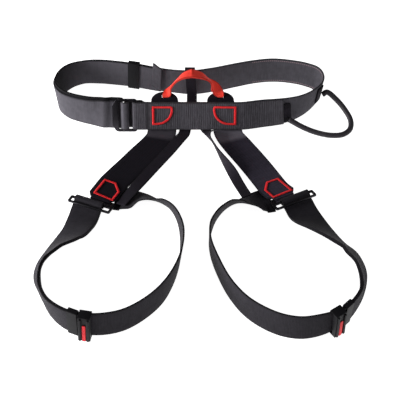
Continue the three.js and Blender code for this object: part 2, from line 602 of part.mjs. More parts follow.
// Leg straps, leg loops, their tails, buckles and keepers
const legs = [
  { side: 'left', hand: 1, loopRows: leftLoopRows, strapRows: leftStrapRows },
  { side: 'right', hand: -1, loopRows: rightLoopRows, strapRows: rightStrapRows },
];
for (const { side, hand, loopRows, strapRows } of legs) {
  const rows = legRow[side];
  const loop = route(loopRows, { hand });
  piece(`leg_loop_${side}`, loft(run(loop, legStart.loop, loopRows.length - 1)), 'black');

  // The tail comes over the buckle's middle bar in a roll, dips under its lower bar and lies on the loop
  const rollHeight = 2 * bar.wrap;
  const tailHeight = (row) => rollHeight + (layer - rollHeight) * ease(row, legStart.dip, legStart.flat);
  const tail = run(loop, 0, rows.tailEnd, { out: tailHeight, raise: () => legStart.raise });
  const roll = fold(tail[0], bar.wrap, 180, { before: true, lead: leads.legTail });
  piece(`leg_tail_${side}`, loft([...roll, ...tail]), 'black');

  const barPlace = moved(loop(0), { out: bar.wrap, across: webbing.width / 2 });
  const angle = (-hand * legFrame.tilt * Math.PI) / 180;
  const tilt = new THREE.Quaternion().setFromAxisAngle(barPlace.across, angle);
  barPlace.along.applyQuaternion(tilt);
  barPlace.out.applyQuaternion(tilt);
  piece(`leg_buckle_${side}`, legBucklePlate(hand), 'steel', onWebbing(barPlace, hand));

  // The leg strap comes flat over the buckle's upper bar, and its narrowed end folds under the bar
  const beside = strapShift - (hand * webbing.width) / 2;
  const barFoot = moved(barPlace, { along: legBars.upper.at, across: beside }).foot;
  const level = loop(0).along.setZ(0).normalize();
  const across = loop(0).across.multiplyScalar(hand);
  const strapEnd = moved({ foot: barFoot, along: level, across, out: up }, { out: bar.thinWrap });
  const { x, y, z } = strapEnd.foot;
  const toward = (Math.atan2(strapEnd.across.y, strapEnd.across.x) * 180) / Math.PI;
  const strap = route([...strapRows, { x, y, z: z - webbing.thickness / 2, lean: 90, toward }]);
  const strapRun = run(strap, 0, strapRows.length);
  strapRun[strapRun.length - 1] = moved(strapEnd, { along: -2 * gap });
  const strapFold = [strapEnd, ...fold(strapEnd, bar.thinWrap, 110)];
  const narrowed = strapFold.map((section) => ({ ...section, span: legHook.strap }));
  piece(`leg_strap_${side}`, loft([...strapRun, ...narrowed]), 'black');

  const patch = strap(patches[side].row);
  const out = webbing.thickness / 2 + stitch.gap + stitch.height / 2;
  const points = pentagonOutline.map((corner) => new THREE.Vector2(corner.along, hand * corner.across));
  const patchPlace = moved(patch, { out, across: patches[side].across });
  piece(`pentagon_stitch_${side}`, bartack(points), 'red', onWebbing(patchPlace));

  piece(`leg_keeper_${side}`, keeperRing(legKeeper), 'plastic', roundWebbing(loop(rows.keeper), hand));
  piece(`leg_elastic_${side}`, keeperRing(legElastic), 'black', roundWebbing(loop(rows.elastic), hand));
  const stripe = new THREE.BoxGeometry(keeperStripe.width, keeperStripe.height, keeperStripe.thickness);
  const stripePlace = moved(loop(rows.keeper), {
    out: legKeeper.slot.out + legKeeper.front + gap + keeperStripe.thickness / 2,
    across: keeperStripe.middle,
  });
  piece(`leg_keeper_stripe_${side}`, stripe, 'red', onWebbing(stripePlace, hand));
}

// Rear riser: a stem hung over the back of the belt, sewn on the two narrow straps to the leg loops
const risers = [['stem', stemRows], ['left', leftRiserRows], ['right', rightRiserRows]];
for (const [name, rows] of risers) {
  const section = route(rows, riserWebbing);
  const size = { width: riserWebbing.widths[name], thickness: riserWebbing.thickness };
  piece(`riser_${name}`, loft(run(section, 0, rows.length - 1), size), 'black');
}

// Gear loop: a sleeved tube between two webbing tabs on the outside of the belt
for (const [end, row] of [['front', beltRow.gearFront], ['rear', beltRow.gearRear]]) {
  const gearTabRun = run(belt, row - 0.25, row + 0.25, { out: () => layer });
  const size = { width: gearTab.height, thickness: webbing.thickness };
  piece(`gear_tab_${end}`, loft(gearTabRun, size, { low: gearTab.lows[end] }), 'black');
}
const tubeOut = layer + webbing.thickness / 2 + gearTube.radius + gap;
const gearEnds = [
  moved(belt(beltRow.gearRear), { out: tubeOut, across: gearTube.ends.rear }).foot,
  moved(belt(beltRow.gearFront), { out: tubeOut, across: gearTube.ends.front }).foot,
];
const gearMiddle = gearPoints.map(({ x, y, z }) => new THREE.Vector3(x, y, z));
const gearCurve = new THREE.CatmullRomCurve3([gearEnds[0], ...gearMiddle, gearEnds[1]]);
const gearCircle = Array.from({ length: gearTube.sides }, (_, i) => {
  const angle = (i * 2 * Math.PI) / gearTube.sides;
  return new THREE.Vector2(gearTube.radius * Math.cos(angle), gearTube.radius * Math.sin(angle));
});
const gearGeometry = new THREE.ExtrudeGeometry(new THREE.Shape(gearCircle), {
  steps: gearTube.steps,
  extrudePath: gearCurve,
});
piece('gear_loop', gearGeometry, 'black');

harness.position.z = -new THREE.Box3().setFromObject(harness).min.z;

export default harness;
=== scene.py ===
# Half body safety harness laid out on a table, its rings of webbing standing on edge. Metres, +Z up.
import math
from collections import namedtuple

import bmesh
import bpy
from mathutils import Matrix, Quaternion, Vector


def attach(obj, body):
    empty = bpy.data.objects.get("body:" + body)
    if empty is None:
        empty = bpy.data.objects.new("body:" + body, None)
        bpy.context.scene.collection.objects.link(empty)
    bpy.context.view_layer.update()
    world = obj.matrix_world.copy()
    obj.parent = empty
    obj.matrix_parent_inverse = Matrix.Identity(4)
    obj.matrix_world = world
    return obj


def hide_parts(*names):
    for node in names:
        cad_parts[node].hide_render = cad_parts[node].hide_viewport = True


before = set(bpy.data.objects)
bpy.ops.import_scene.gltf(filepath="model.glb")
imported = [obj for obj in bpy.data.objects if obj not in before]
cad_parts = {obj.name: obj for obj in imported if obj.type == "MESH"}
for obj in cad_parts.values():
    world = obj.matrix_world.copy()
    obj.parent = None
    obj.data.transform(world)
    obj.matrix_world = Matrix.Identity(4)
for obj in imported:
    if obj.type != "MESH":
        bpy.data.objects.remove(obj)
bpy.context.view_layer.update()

# Waist belt: one length of woven polyester webbing, 45 mm wide, standing on its edge. It starts behind the
# front panel, goes round the waist, passes behind the buckle's left bar and folds over its middle bar.
MM = 0.001
UP = Vector((0, 0, 1))
HARNESS_MIDDLE = Vector((1.2, 0.8, -0.164)) * MM
WIDE = 45 * MM
THICK = 2.4 * MM
CLEAR = 0.3 * MM
LAYER = THICK + CLEAR
BAR_THICK = 3 * MM
BAR_WRAP = 4 * MM
PER_ROW, FINE_PER_ROW = 12, 24
SHARP_ANGLE, EDGE_STEPS = 1.0, 3
CHARCOAL = (0.072, 0.068, 0.08)
SEWING = (0.3, 0.21, 0.23)
SEWN_LENGTHS = (340 * MM, 460 * MM)

# x and y of the belt's lower edge, the clearance under it, and its lean from upright towards the wearer
BELT_ROWS = (
    (-100.3, 140.5, 5, 25), (-76, 140.5, 5, 25), (-40, 140.5, 5, 25), (0, 140.5, 5, 25),
    (32, 140.5, 5, 25), (66, 140.5, 5, 25), (81, 143, 4.5, 25), (98, 148, 3, 23), (116, 153, 1.5, 19),
    (137, 160, 0.5, 13), (158, 173, 0, 3), (176, 191, 0, -5), (188, 212, 0, -9), (184, 231, 0, -10),
    (168, 241, 0, -9), (144, 248, 0, -8), (116, 250.5, 0, -9), (88, 247, 0, -9), (56, 238, 0, -11),
    (24, 228.5, 0, -12), (-13, 222.5, 0, -11), (-50, 227, 0.5, -7), (-80, 232.5, 1.5, -8),
    (-106, 237.5, 3.2, -8), (-134, 243.5, 1.5, -9), (-160, 247.5, 0.5, -9), (-184, 247, 0, -8),
    (-205, 237.5, 0, -9), (-219, 221, 0, -9), (-225, 202, 0, -6), (-220, 184, 0, 0), (-206, 169.5, 0, 6),
    (-186, 160, 0.5, 9), (-165, 152, 1.5, 14), (-148, 144, 4, 22), (-130.7, 140.5, 5, 25),
    (-115.7, 140.5, 5, 25),
)
START_BEHIND, INNER, ROUND = 0.34, 0.68, 1
WEAVE_START, LEFT_BAR, WEAVE_END, TAIL_START, OVER_BAR, MIDDLE_BAR = 33.75, 34.5, 35.37, 35.75, 35.8, 36
START_REACH, BELT_LEAD = 13.5 * MM, 2 * MM

Lie = namedtuple("Lie", "foot along across out")


def through(points, at, even=False):
    """The place at a row number on a smooth curve through the points, and the way that it runs there."""
    last = len(points) - 1
    first = min(int(at), last - 1)
    share = at - first
    here, there = points[first], points[first + 1]
    before = points[first - 1] if first else here * 2 - there
    after = points[first + 2] if first + 2 <= last else there * 2 - here
    if even:
        leave, arrive = (there - before) / 2, (after - here) / 2
    else:
        steps = [(b - a).length ** 0.5 for a, b in ((before, here), (here, there), (there, after))]
        middle = (there - here) / steps[1]
        leave = (here - before) / steps[0] - (there - before) / (steps[0] + steps[1]) + middle
        arrive = middle - (after - here) / (steps[1] + steps[2]) + (after - there) / steps[2]
        leave, arrive = leave * steps[1], arrive * steps[1]
    bend = (there - here) * 3 - leave * 2 - arrive
    turn = (here - there) * 2 + leave + arrive
    heading = leave + (bend * 2 + turn * (3 * share)) * share
    return here + (leave + (bend + turn * share) * share) * share, heading.normalized()


def laid(rows, hand=1, thick=THICK, rests=True):
    """How webbing lies at any row number: the foot of its lower edge, and the ways along, across and out."""
    feet = [Vector(row[:3]) * MM - HARNESS_MIDDLE for row in rows]
    turns = [Vector((row[3], row[4] if len(row) > 4 else 0.0, 0.0)) for row in rows]
    bearings = len(rows[0]) > 4

    def lie(at):
        foot, along = through(feet, at)
        lean, toward, _ = (math.radians(angle) for angle in through(turns, at, even=True)[0])
        side = Vector((-along.y, along.x, 0)).normalized() * hand
        if bearings:
            side = Vector((math.cos(toward), math.sin(toward), 0))
        across = side * math.sin(lean) + UP * math.cos(lean)
        if not (bearings and rests):
            across = (across - along * across.dot(along)).normalized()
        out = (along.cross(across) * hand).normalized()
        if rests:
            foot = foot + UP * (thick / 2 * abs(out.z))
        return Lie(foot, along, across, out)

    return lie


def moved(lie, out=0.0, across=0.0, along=0.0):
    """The same lie with its foot moved along its own ways."""
    return lie._replace(foot=lie.foot + lie.out * out + lie.across * across + lie.along * along)


def stretch(lie, start, end, out=lambda at: 0.0, lift=lambda at: 0.0, per_row=PER_ROW):
    """The lies from one row number to another, moved out and lifted on the way."""
    count = round(abs(end - start) * per_row)
    rows = [start + (end - start) * step / count for step in range(count + 1)]
    return [moved(lie(at), out=out(at), across=lift(at)) for at in rows]


def folded(lie, radius, degrees, before=False, lead=0.0, steps=20):
    """The webbing's way round a bar on the inner side of where it lies, after that place or before it."""
    sense = -1 if before else 1
    turned = []
    for step in range(1, steps + 1):
        angle = math.radians(degrees * step / steps)
        out = lie.out * math.cos(angle) + lie.along * (sense * math.sin(angle))
        along = lie.along * math.cos(angle) - lie.out * (sense * math.sin(angle))
        turned.append(Lie(lie.foot + (out - lie.out) * radius, along, lie.across, out))
    if lead:
        turned.append(moved(turned[-1], along=sense * lead))
    return turned[::-1] if before else turned


def eased(at, start, end):
    """The share of the way from start to end, smooth at both."""
    share = min(max((at - start) / (end - start), 0.0), 1.0)
    return share * share * (3 - 2 * share)


def strip(mesh, lies, width, thick, low=0.0, ring=False, strands=6, edge=0.8 * MM, spans=None):
    """Cuts a flat length of webbing, bends it the way it lies, and gives it thickness and rounded edges.
    Spans give the low edge and width at each place where it is gathered narrower."""
    last = len(lies) - 1
    spans = spans or [(low, width)] * len(lies)
    middles = [lie.foot + lie.across * (edge_low + wide / 2) for lie, (edge_low, wide) in zip(lies, spans)]
    lengths = [0.0]
    for before, after in zip(middles, middles[1:]):
        lengths.append(lengths[-1] + (after - before).length)
    station = mesh.verts.layers.int.new("station")
    weave = mesh.loops.layers.uv.new("weave")
    grid = bmesh.ops.create_grid(mesh, x_segments=last, y_segments=strands, size=0.5)["verts"]
    faces = list({face for vert in grid for face in vert.link_faces})
    for face in faces:
        for loop in face.loops:
            spot = loop.vert.co
            loop[weave].uv = (lengths[round((spot.x + 0.5) * last)], spot.y * width)
    for vert in grid:
        vert[station] = round((vert.co.x + 0.5) * last)
        lie = lies[vert[station]]
        edge_low, wide = spans[vert[station]]
        reach = edge_low + wide * (vert.co.y + 0.5)
        vert.co = lie.foot + lie.across * reach - lie.out * (thick / 2)
    if ring:
        bmesh.ops.remove_doubles(mesh, verts=grid, dist=1e-6)
    made = bmesh.ops.extrude_face_region(mesh, geom=faces)["geom"]
    raised = [part for part in made if isinstance(part, bmesh.types.BMVert)]
    for vert in raised:
        vert.co = vert.co + lies[vert[station]].out * thick
    shell = list({face for vert in raised for face in vert.link_faces} | set(faces))
    bmesh.ops.recalc_face_normals(mesh, faces=shell)
    rims = {rim for face in shell for rim in face.edges}
    sharp = [rim for rim in rims if len(rim.link_faces) == 2 and rim.calc_face_angle() > SHARP_ANGLE]
    bmesh.ops.bevel(mesh, geom=sharp, offset=edge, offset_type="OFFSET", segments=EDGE_STEPS, profile=0.5,
                    affect="EDGES", clamp_overlap=True, material=-1)
    return lengths[-1]


def piece(name, mesh, finish, smooth=True):
    """Turns a finished mesh into a piece of the harness with its finish."""
    for face in mesh.faces:
        face.smooth = smooth
    data = bpy.data.meshes.new(name)
    mesh.to_mesh(data)
    mesh.free()
    data.materials.append(finish)
    made = bpy.data.objects.new(name, data)
    bpy.context.scene.collection.objects.link(made)
    return made


def settle(made, node):
    """Puts a piece on the harness in place of its plain solid."""
    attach(made, "root")
    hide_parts(node)


def webbing(name, lies, width, thick, finish, low=0.0, ring=False, rests_on=(), spans=None):
    """A cut length of webbing as a piece of its own."""
    mesh = bmesh.new()
    length = strip(mesh, lies, width, thick, low, ring, spans=spans)
    made = piece(name + "_webbing", mesh, finish)
    settle(made, name)
    return made


class Thread:
    """One value of a finish, at a socket of its nodes. Sums and products of it add Math nodes."""

    def __init__(self, socket):
        self.socket = socket
        self.tree = socket.id_data

    def node(self, kind, settings, values, output=0):
        made = self.tree.nodes.new(kind)
        for name, setting in settings.items():
            setattr(made, name, setting)
        for name, value in values.items():
            if isinstance(value, Thread):
                self.tree.links.new(value.socket, made.inputs[name])
            else:
                made.inputs[name].default_value = value
        return Thread(made.outputs[output])

    def maths(self, operation, first, second=0.0):
        return self.node("ShaderNodeMath", {"operation": operation}, {0: first, 1: second})

    def __add__(self, other):
        return self.maths("ADD", self, other)

    __radd__ = __add__

    def __sub__(self, other):
        return self.maths("SUBTRACT", self, other)

    def __rsub__(self, other):
        return self.maths("SUBTRACT", other, self)

    def __mul__(self, other):
        return self.maths("MULTIPLY", self, other)

    __rmul__ = __mul__

    def __truediv__(self, other):
        return self.maths("DIVIDE", self, other)

    def __mod__(self, other):
        return self.maths("FLOORED_MODULO", self, other)

    def __abs__(self):
        return self.maths("ABSOLUTE", self)

    def wave(self):
        return self.maths("SINE", self)

    def between(self, low, high):
        """The share of the way from a low value to a high one, held between 0 and 1."""
        ends = {"From Min": low, "From Max": high, "Value": self}
        return self.node("ShaderNodeMapRange", {"interpolation_type": "SMOOTHSTEP"}, ends)

    def over(self, under, colour):
        """A colour laid over what is under it, by as much as this value says."""
        ends = {0: self, 6: under, 7: (*colour, 1)}
        return self.node("ShaderNodeMix", {"data_type": "RGBA"}, ends, 2)

    def tint(self, colour, dark, light):
        """From a darker shade of a colour at 0 to a lighter one at 1."""
        return self.over((*(dark * part for part in colour), 1), [light * part for part in colour])

    def feed(self, node, name):
        self.tree.links.new(self.socket, node.inputs[name])


def bare(name, roughness, metallic=0.0, sheen=0.0, specular=0.5):
    """A new finish with its even values, and a thread to spin the rest from."""
    finish = bpy.data.materials.new(name)
    finish.use_nodes = True
    shader = finish.node_tree.nodes["Principled BSDF"]
    shader.inputs["Roughness"].default_value = roughness
    shader.inputs["Metallic"].default_value = metallic
    shader.inputs["Sheen Weight"].default_value = sheen
    shader.inputs["Sheen Roughness"].default_value = 0.45
    shader.inputs["Specular IOR Level"].default_value = specular
    return finish, shader, Thread(shader.outputs[0])


def woven(name, colour, width, rib=1.5 * MM, uneven=0.5, rise=0.25 * MM, clear=0.4, seam=None, sewn=None,
          painted_fade=None):
    """Webbing: weft ribs across it, warp ends over and under them, uneven rows, and painted shade darkening
    the hollows between ribs and both edges. Seam is the length at a dark seam, sewn the two ends of sewn
    lines by the edges, and painted_fade the lengths where a paler beginning ends, with its colour: painted
    light and shade."""
    warp, edge_shade_wide, edge_shade_full = 0.9 * MM, 2.2 * MM, 0.4 * MM
    streak_along, streak_across, worn_scale = 320, 9, 22
    seam_dark, seam_wide = 1.2 * MM, 3.2 * MM
    stitch, line_in, line_full, line_wide, lead_in = 3.2 * MM, 3.4 * MM, 0.3 * MM, 0.8 * MM, 4 * MM
    finish, shader, yarn = bare(name, 0.8, sheen=0.03, specular=0.12)
    spot = yarn.node("ShaderNodeUVMap", {"uv_map": "weave"}, {})
    along = yarn.node("ShaderNodeSeparateXYZ", {}, {0: spot}, "X")
    across = yarn.node("ShaderNodeSeparateXYZ", {}, {0: spot}, "Y")
    rows = along / rib
    row = rows.maths("FLOOR", rows)
    ribs = ((rows - row) * math.pi).wave()
    ends = abs(((across / warp + row * 0.5) * math.pi).wave())
    height = ribs * (0.6 + 0.4 * ends)
    flat = {"noise_dimensions": "2D"}
    drawn = yarn.node("ShaderNodeCombineXYZ", {}, {0: along * streak_along, 1: across * streak_across})
    streak = yarn.node("ShaderNodeTexNoise", flat, {"Vector": drawn, "Detail": 3.0})
    patchy = yarn.node("ShaderNodeCombineXYZ", {}, {0: along * worn_scale, 1: across * worn_scale})
    worn = yarn.node("ShaderNodeTexNoise", flat, {"Vector": patchy})
    # Painted shade: the colour is darker in the hollows between ribs and along both edges of the webbing.
    edge_shade = abs(across).between(width / 2 - edge_shade_wide, width / 2 - edge_shade_full)
    shade = 0.44 + clear * (height - 0.55) + uneven * (streak - 0.5) + 0.35 * (worn - 0.5) - 0.8 * edge_shade
    if seam:
        shade = shade - 0.9 * (1 - abs(along - seam).between(seam_dark, seam_wide))
    yarns = shade.tint(colour, 0.5, 1.6)
    if sewn:
        first, last = sewn
        line = 1 - abs(abs(across) - (width / 2 - line_in)).between(line_full, line_wide)
        dash = abs((along / stitch) % 1 - 0.5).between(0.12, 0.2)
        reach = along.between(first - lead_in, first) * (1 - along.between(last, last + lead_in))
        yarns = (line * dash * reach).over(yarns, SEWING)
    # Painted light and shade along the length: a paler beginning that gives way to the weave's colour between
    # two lengths.
    if painted_fade:
        first, last, pale = painted_fade
        beginning = 1 - along.between(first, last)
        yarns = (beginning * (0.5 + shade)).over(yarns, pale)
    yarns.feed(shader, "Base Color")
    relief = height + 1.2 * uneven * streak
    bump = yarn.node("ShaderNodeBump", {}, {"Strength": 0.7, "Distance": rise, "Height": relief})
    bump.feed(shader, "Normal")
    return finish


charcoal_weave = woven("charcoal_weave", CHARCOAL, WIDE, sewn=SEWN_LENGTHS)
belt = laid(BELT_ROWS)
FRAME_OUT = LAYER - BAR_WRAP
BEHIND_BAR = FRAME_OUT - BAR_THICK / 2 - THICK / 2 - 2 * CLEAR


def belt_out(at):
    """How far out the belt lies: behind the panel's fold, behind the left bar, then over the middle bar."""
    start = (LAYER - 2 * BAR_WRAP - THICK - 2 * CLEAR) * (1 - eased(at, START_BEHIND, INNER))
    over = (LAYER - BEHIND_BAR) * eased(at, WEAVE_END, OVER_BAR)
    return start + BEHIND_BAR * eased(at, WEAVE_START, LEFT_BAR) + over


belt_run = stretch(belt, 0, INNER, out=belt_out, per_row=FINE_PER_ROW)
belt_run.insert(0, moved(belt_run[0], along=-START_REACH))
belt_run += stretch(belt, ROUND, MIDDLE_BAR, out=belt_out)
belt_run += folded(belt_run[-1], BAR_WRAP, 180, lead=BELT_LEAD)
webbing("waist_belt", belt_run, WIDE, THICK, charcoal_weave)

# Belt tail: the free length of the belt beyond the buckle. It doubles back inside the belt, through the
# keeper, and its end is turned over once and sewn so that it can't slip out.
TAIL_END, TAB_END, KEEPER_ROW, RAISED, FULL = 21.4, 21.9, 23, 25, 28
TAIL_LOW, TAIL_RISE, TAB_LOW, TAB_RISE = 0.5 * MM, 4.5 * MM, 4 * MM, 7 * MM
# Painted shade: the tail's weave is nearly black from 185 mm along it, inside the bend at the belt's left end
# and on to the buckle; before 110 mm it keeps a charcoal a little paler than the belt's.
TAIL_PAINTED_SHADE, TAIL_SHADE_FADE = (0.008, 0.0075, 0.009), (110 * MM, 185 * MM, (0.082, 0.077, 0.091))


def tail_out(at):
    """How far in the tail lies: a layer inside the belt, then as far as the belt's fold at the buckle."""
    to_fold = 2 * LAYER - 2 * BAR_WRAP - BEHIND_BAR
    return BEHIND_BAR * eased(at, WEAVE_START, LEFT_BAR) - LAYER + to_fold * eased(at, WEAVE_END, TAIL_START)


def tail_lift(at):
    return TAIL_LOW + TAIL_RISE * eased(at, RAISED, FULL)


def tab_lift(at):
    return TAB_LOW + TAB_RISE * eased(at, TAIL_END, TAB_END)


tail_shaded_weave = woven("tail_shaded_weave", TAIL_PAINTED_SHADE, WIDE, painted_fade=TAIL_SHADE_FADE)
tail_run = stretch(belt, TAIL_END, TAIL_START, out=tail_out, lift=tail_lift)
webbing("belt_tail", tail_run, WIDE, THICK, tail_shaded_weave, rests_on="waist_belt")
tab_run = stretch(belt, TAIL_END, TAB_END, out=lambda at: -2 * LAYER, lift=tab_lift, per_row=FINE_PER_ROW)
webbing("belt_tail_end", tab_run, WIDE, THICK, charcoal_weave, rests_on="belt_tail")

# Front panel: a second length of ribbed webbing sewn on the front of the belt, from a fold round the buckle's
# right bar to the gear loop's front tab. It carries the bartacks of the tie-in loops.
PANEL_END, PANEL_LEAD, PANEL_SEAM = 8.7, 9 * MM, 40 * MM
panel_weave = woven("panel_weave", (0.06, 0.056, 0.066), WIDE, rib=2.9 * MM, uneven=1.6, rise=0.5 * MM,
                    clear=0.8, seam=PANEL_SEAM)
panel_run = stretch(belt, 0, PANEL_END, out=lambda at: LAYER)
panel_run = folded(panel_run[0], BAR_WRAP, 180, before=True, lead=PANEL_LEAD) + panel_run
webbing("front_panel", panel_run, WIDE, THICK, panel_weave,
        rests_on="waist_belt")

# Waist buckle: one pressed steel plate, dark satin finish with rounded edges. A wide bar stands at its left,
# the belt folds over its middle bar, and the front panel is sewn round its right bar.
BARS = ((-15.8, 10.4), (0, 4), (15.4, 4))
BUCKLE_LINES = (-27, -22.95, -16, 16, 22.95, 27)
BUCKLE_HOLES = ((1, 1), (1, 2), (1, 3), (3, 1), (3, 2), (3, 3))
BUCKLE_CHAMFERS = {(0, 0): 6.5 * MM, (0, 1): 4 * MM, (0, 4): 4 * MM, (0, 5): 6.5 * MM}
BUCKLE_CORNER, STEEL_EDGE, CORNER_STEPS = 3.7, 0.6 * MM, 6


def pierced(mesh, columns, lines, holes, depth, corner, edge, drawn_in=None):
    """A plate cut on a grid of column and line places, with holes in some cells and rounded corners. Some of
    its places are drawn in along it by a distance."""
    near, level_angle, corner_angle, edge_angle = 1e-6, 0.01, 0.6, 0.7
    wide, high = len(columns) - 1, len(lines) - 1
    grid = bmesh.ops.create_grid(mesh, x_segments=wide, y_segments=high, size=0.5)["verts"]
    cells = {}
    for face in {face for vert in grid for face in vert.link_faces}:
        centre = face.calc_center_median()
        cells[int((centre.x + 0.5) * wide), int((centre.y + 0.5) * high)] = face
    for vert in grid:
        column, line = round((vert.co.x + 0.5) * wide), round((vert.co.y + 0.5) * high)
        along = columns[column] + (drawn_in or {}).get((column, line), 0.0)
        vert.co = Vector((along, lines[line], -depth / 2))
    bmesh.ops.delete(mesh, geom=[cells[hole] for hole in holes], context="FACES")
    made = bmesh.ops.extrude_face_region(mesh, geom=mesh.faces[:])["geom"]
    for part in made:
        if isinstance(part, bmesh.types.BMVert):
            part.co.z += depth
    bmesh.ops.recalc_face_normals(mesh, faces=mesh.faces[:])
    posts = []
    for rim in mesh.edges:
        first, second = (vert.co for vert in rim.verts)
        upright = abs(first.x - second.x) + abs(first.y - second.y) < near
        at_tip = min(abs(first.y - lines[0]), abs(first.y - lines[-1])) < near
        if upright and at_tip and rim.calc_face_angle_signed() > corner_angle:
            posts.append(rim)
    rounding = {"offset_type": "OFFSET", "profile": 0.5, "affect": "EDGES", "material": -1}
    bmesh.ops.bevel(mesh, geom=posts, offset=corner, segments=CORNER_STEPS, **rounding)
    flat = [rim for rim in mesh.edges if rim.calc_face_angle() < level_angle]
    bmesh.ops.dissolve_edges(mesh, edges=flat, use_verts=False)
    sharp = [rim for rim in mesh.edges if rim.calc_face_angle() > edge_angle]
    bmesh.ops.bevel(mesh, geom=sharp, offset=edge, segments=EDGE_STEPS, clamp_overlap=True, **rounding)


def set_down(mesh, lie, x_way, y_way, z_way):
    """Moves a mesh made at the origin to where a lie's foot is, its axes along the given ways."""
    turn = Matrix((x_way, y_way, z_way)).transposed().to_4x4()
    bmesh.ops.transform(mesh, matrix=Matrix.Translation(lie.foot) @ turn, verts=mesh.verts[:])


def buckle(name, columns, lines, holes, corner, lie, finish, hand=1, drawn_in=None):
    """A pressed buckle plate, mirrored for the other hand."""
    mesh = bmesh.new()
    pierced(mesh, [part * MM for part in columns], [part * MM for part in lines], holes, BAR_THICK,
            corner * MM, STEEL_EDGE, drawn_in)
    set_down(mesh, lie, lie.along, lie.across, lie.out)
    if hand < 0:
        bmesh.ops.reverse_faces(mesh, faces=mesh.faces[:])
    made = piece(name + "_steel", mesh, finish)
    settle(made, name)


def satin_steel(name, colour):
    """Dark plated steel, brushed along its length, with faint blotches in its gloss."""
    finish, shader, grain = bare(name, 0.3, metallic=1.0)
    spot = grain.node("ShaderNodeTexCoord", {}, {}, "Object")
    lengthwise = {0: spot, 1: (900, 900, 90)}
    drawn = grain.node("ShaderNodeVectorMath", {"operation": "MULTIPLY"}, lengthwise, "Vector")
    brushed = grain.node("ShaderNodeTexNoise", {}, {"Vector": drawn, "Scale": 1.0, "Detail": 3.0})
    blotch = grain.node("ShaderNodeTexNoise", {}, {"Vector": spot, "Scale": 140.0, "Detail": 2.0})
    (brushed * 0.5 + blotch * 0.5).tint(colour, 0.5, 1).feed(shader, "Base Color")
    (0.2 + 0.16 * brushed + 0.12 * blotch).feed(shader, "Roughness")
    bump = grain.node("ShaderNodeBump", {}, {"Strength": 0.15, "Distance": 0.1 * MM, "Height": brushed})
    bump.feed(shader, "Normal")
    return finish


dark_steel = satin_steel("dark_steel", (0.055, 0.052, 0.06))
buckle_lie = moved(belt(MIDDLE_BAR), out=FRAME_OUT, across=WIDE / 2)
bar_edges = [at + side * width / 2 for at, width in BARS for side in (-1, 1)]
buckle("buckle_frame", bar_edges, BUCKLE_LINES, BUCKLE_HOLES, BUCKLE_CORNER, buckle_lie, dark_steel,
       drawn_in=BUCKLE_CHAMFERS)

# Belt keeper: a moulded black ring round the belt and its tail at the back, which holds the two together.
# It slides along the webbing.
KEEPER = {
    "length": 18, "wall": 1.2, "front": 1.2, "low": -0.5, "high": 46.3, "in": -4.4, "out": 1.7,
    "corner": 1.1, "edge": 0.4,
}


def moulded(name, colour, grain_size=2600.0, roughness=0.5):
    """Moulded plastic with a fine grain."""
    finish, shader, grain = bare(name, roughness, specular=0.15)
    spot = grain.node("ShaderNodeTexCoord", {}, {}, "Object")
    fine = grain.node("ShaderNodeTexNoise", {}, {"Vector": spot, "Scale": grain_size, "Detail": 2.0})
    cloud = grain.node("ShaderNodeTexNoise", {}, {"Vector": spot, "Scale": 90.0, "Detail": 3.0})
    cloud.tint(colour, 0.7, 1.3).feed(shader, "Base Color")
    (roughness - 0.1 + 0.2 * cloud).feed(shader, "Roughness")
    bump = grain.node("ShaderNodeBump", {}, {"Strength": 0.3, "Distance": 0.1 * MM, "Height": fine})
    bump.feed(shader, "Normal")
    return finish


def keeper_ring(mesh, size, lie, hand=1):
    """A moulded ring round the webbing, thicker at its front where its sizes say so."""
    columns = [part * MM for part in
               (size["low"] - size["wall"], size["low"], size["high"], size["high"] + size["wall"])]
    lines = [part * MM for part in
             (size["in"] - size["wall"], size["in"], size["out"], size["out"] + size["front"])]
    pierced(mesh, columns, lines, ((1, 1),), size["length"] * MM, size["corner"] * MM, size["edge"] * MM)
    set_down(mesh, lie, lie.across, lie.out, lie.along * hand)


black_plastic = moulded("black_plastic", (0.005, 0.0045, 0.006))
ring = bmesh.new()
keeper_ring(ring, KEEPER, belt(KEEPER_ROW))
settle(piece("belt_keeper_ring", ring, black_plastic), "belt_keeper")

# D bartacks: dense satin stitching in red thread on the front panel, which fixes the tie-in loops behind it.
# Each is a D with its round corner towards the middle of the harness.
STITCH_LINE, STITCH_HIGH, STITCH_CLEAR, STITCH_EDGE = 3.4 * MM, 0.8 * MM, 0.4 * MM, 0.35 * MM
STITCH_PITCH, STITCH_SLANT, STITCH_SIDES, STITCH_RINGS = 0.62 * MM, 0.12, 6, 4
STITCH_HALF, STITCH_RAISE = (0.4 * MM, 0.53 * STITCH_LINE, 0.42 * MM), 0.38 * STITCH_HIGH
D_HIGH, D_ROUND, D_CORNER, D_STEPS, D_RAISE = 31, 25, 4, 8, 1.5
D_ROWS = (("left", 1.51, 1, 32.5), ("right", 4.18, -1, 36))


def inwards(points, distance):
    """The corners of a convex outline moved in by a distance, counterclockwise."""
    edges = []
    for here, there in zip(points, points[1:] + points[:1]):
        way = (there - here).normalized()
        edges.append((here + Vector((-way.y, way.x)) * distance, way))
    corners = []
    for (before, old_way), (after, way) in zip(edges[-1:] + edges[:-1], edges):
        reach = (after - before).cross(way) / old_way.cross(way)
        corners.append(before + old_way * reach)
    return corners


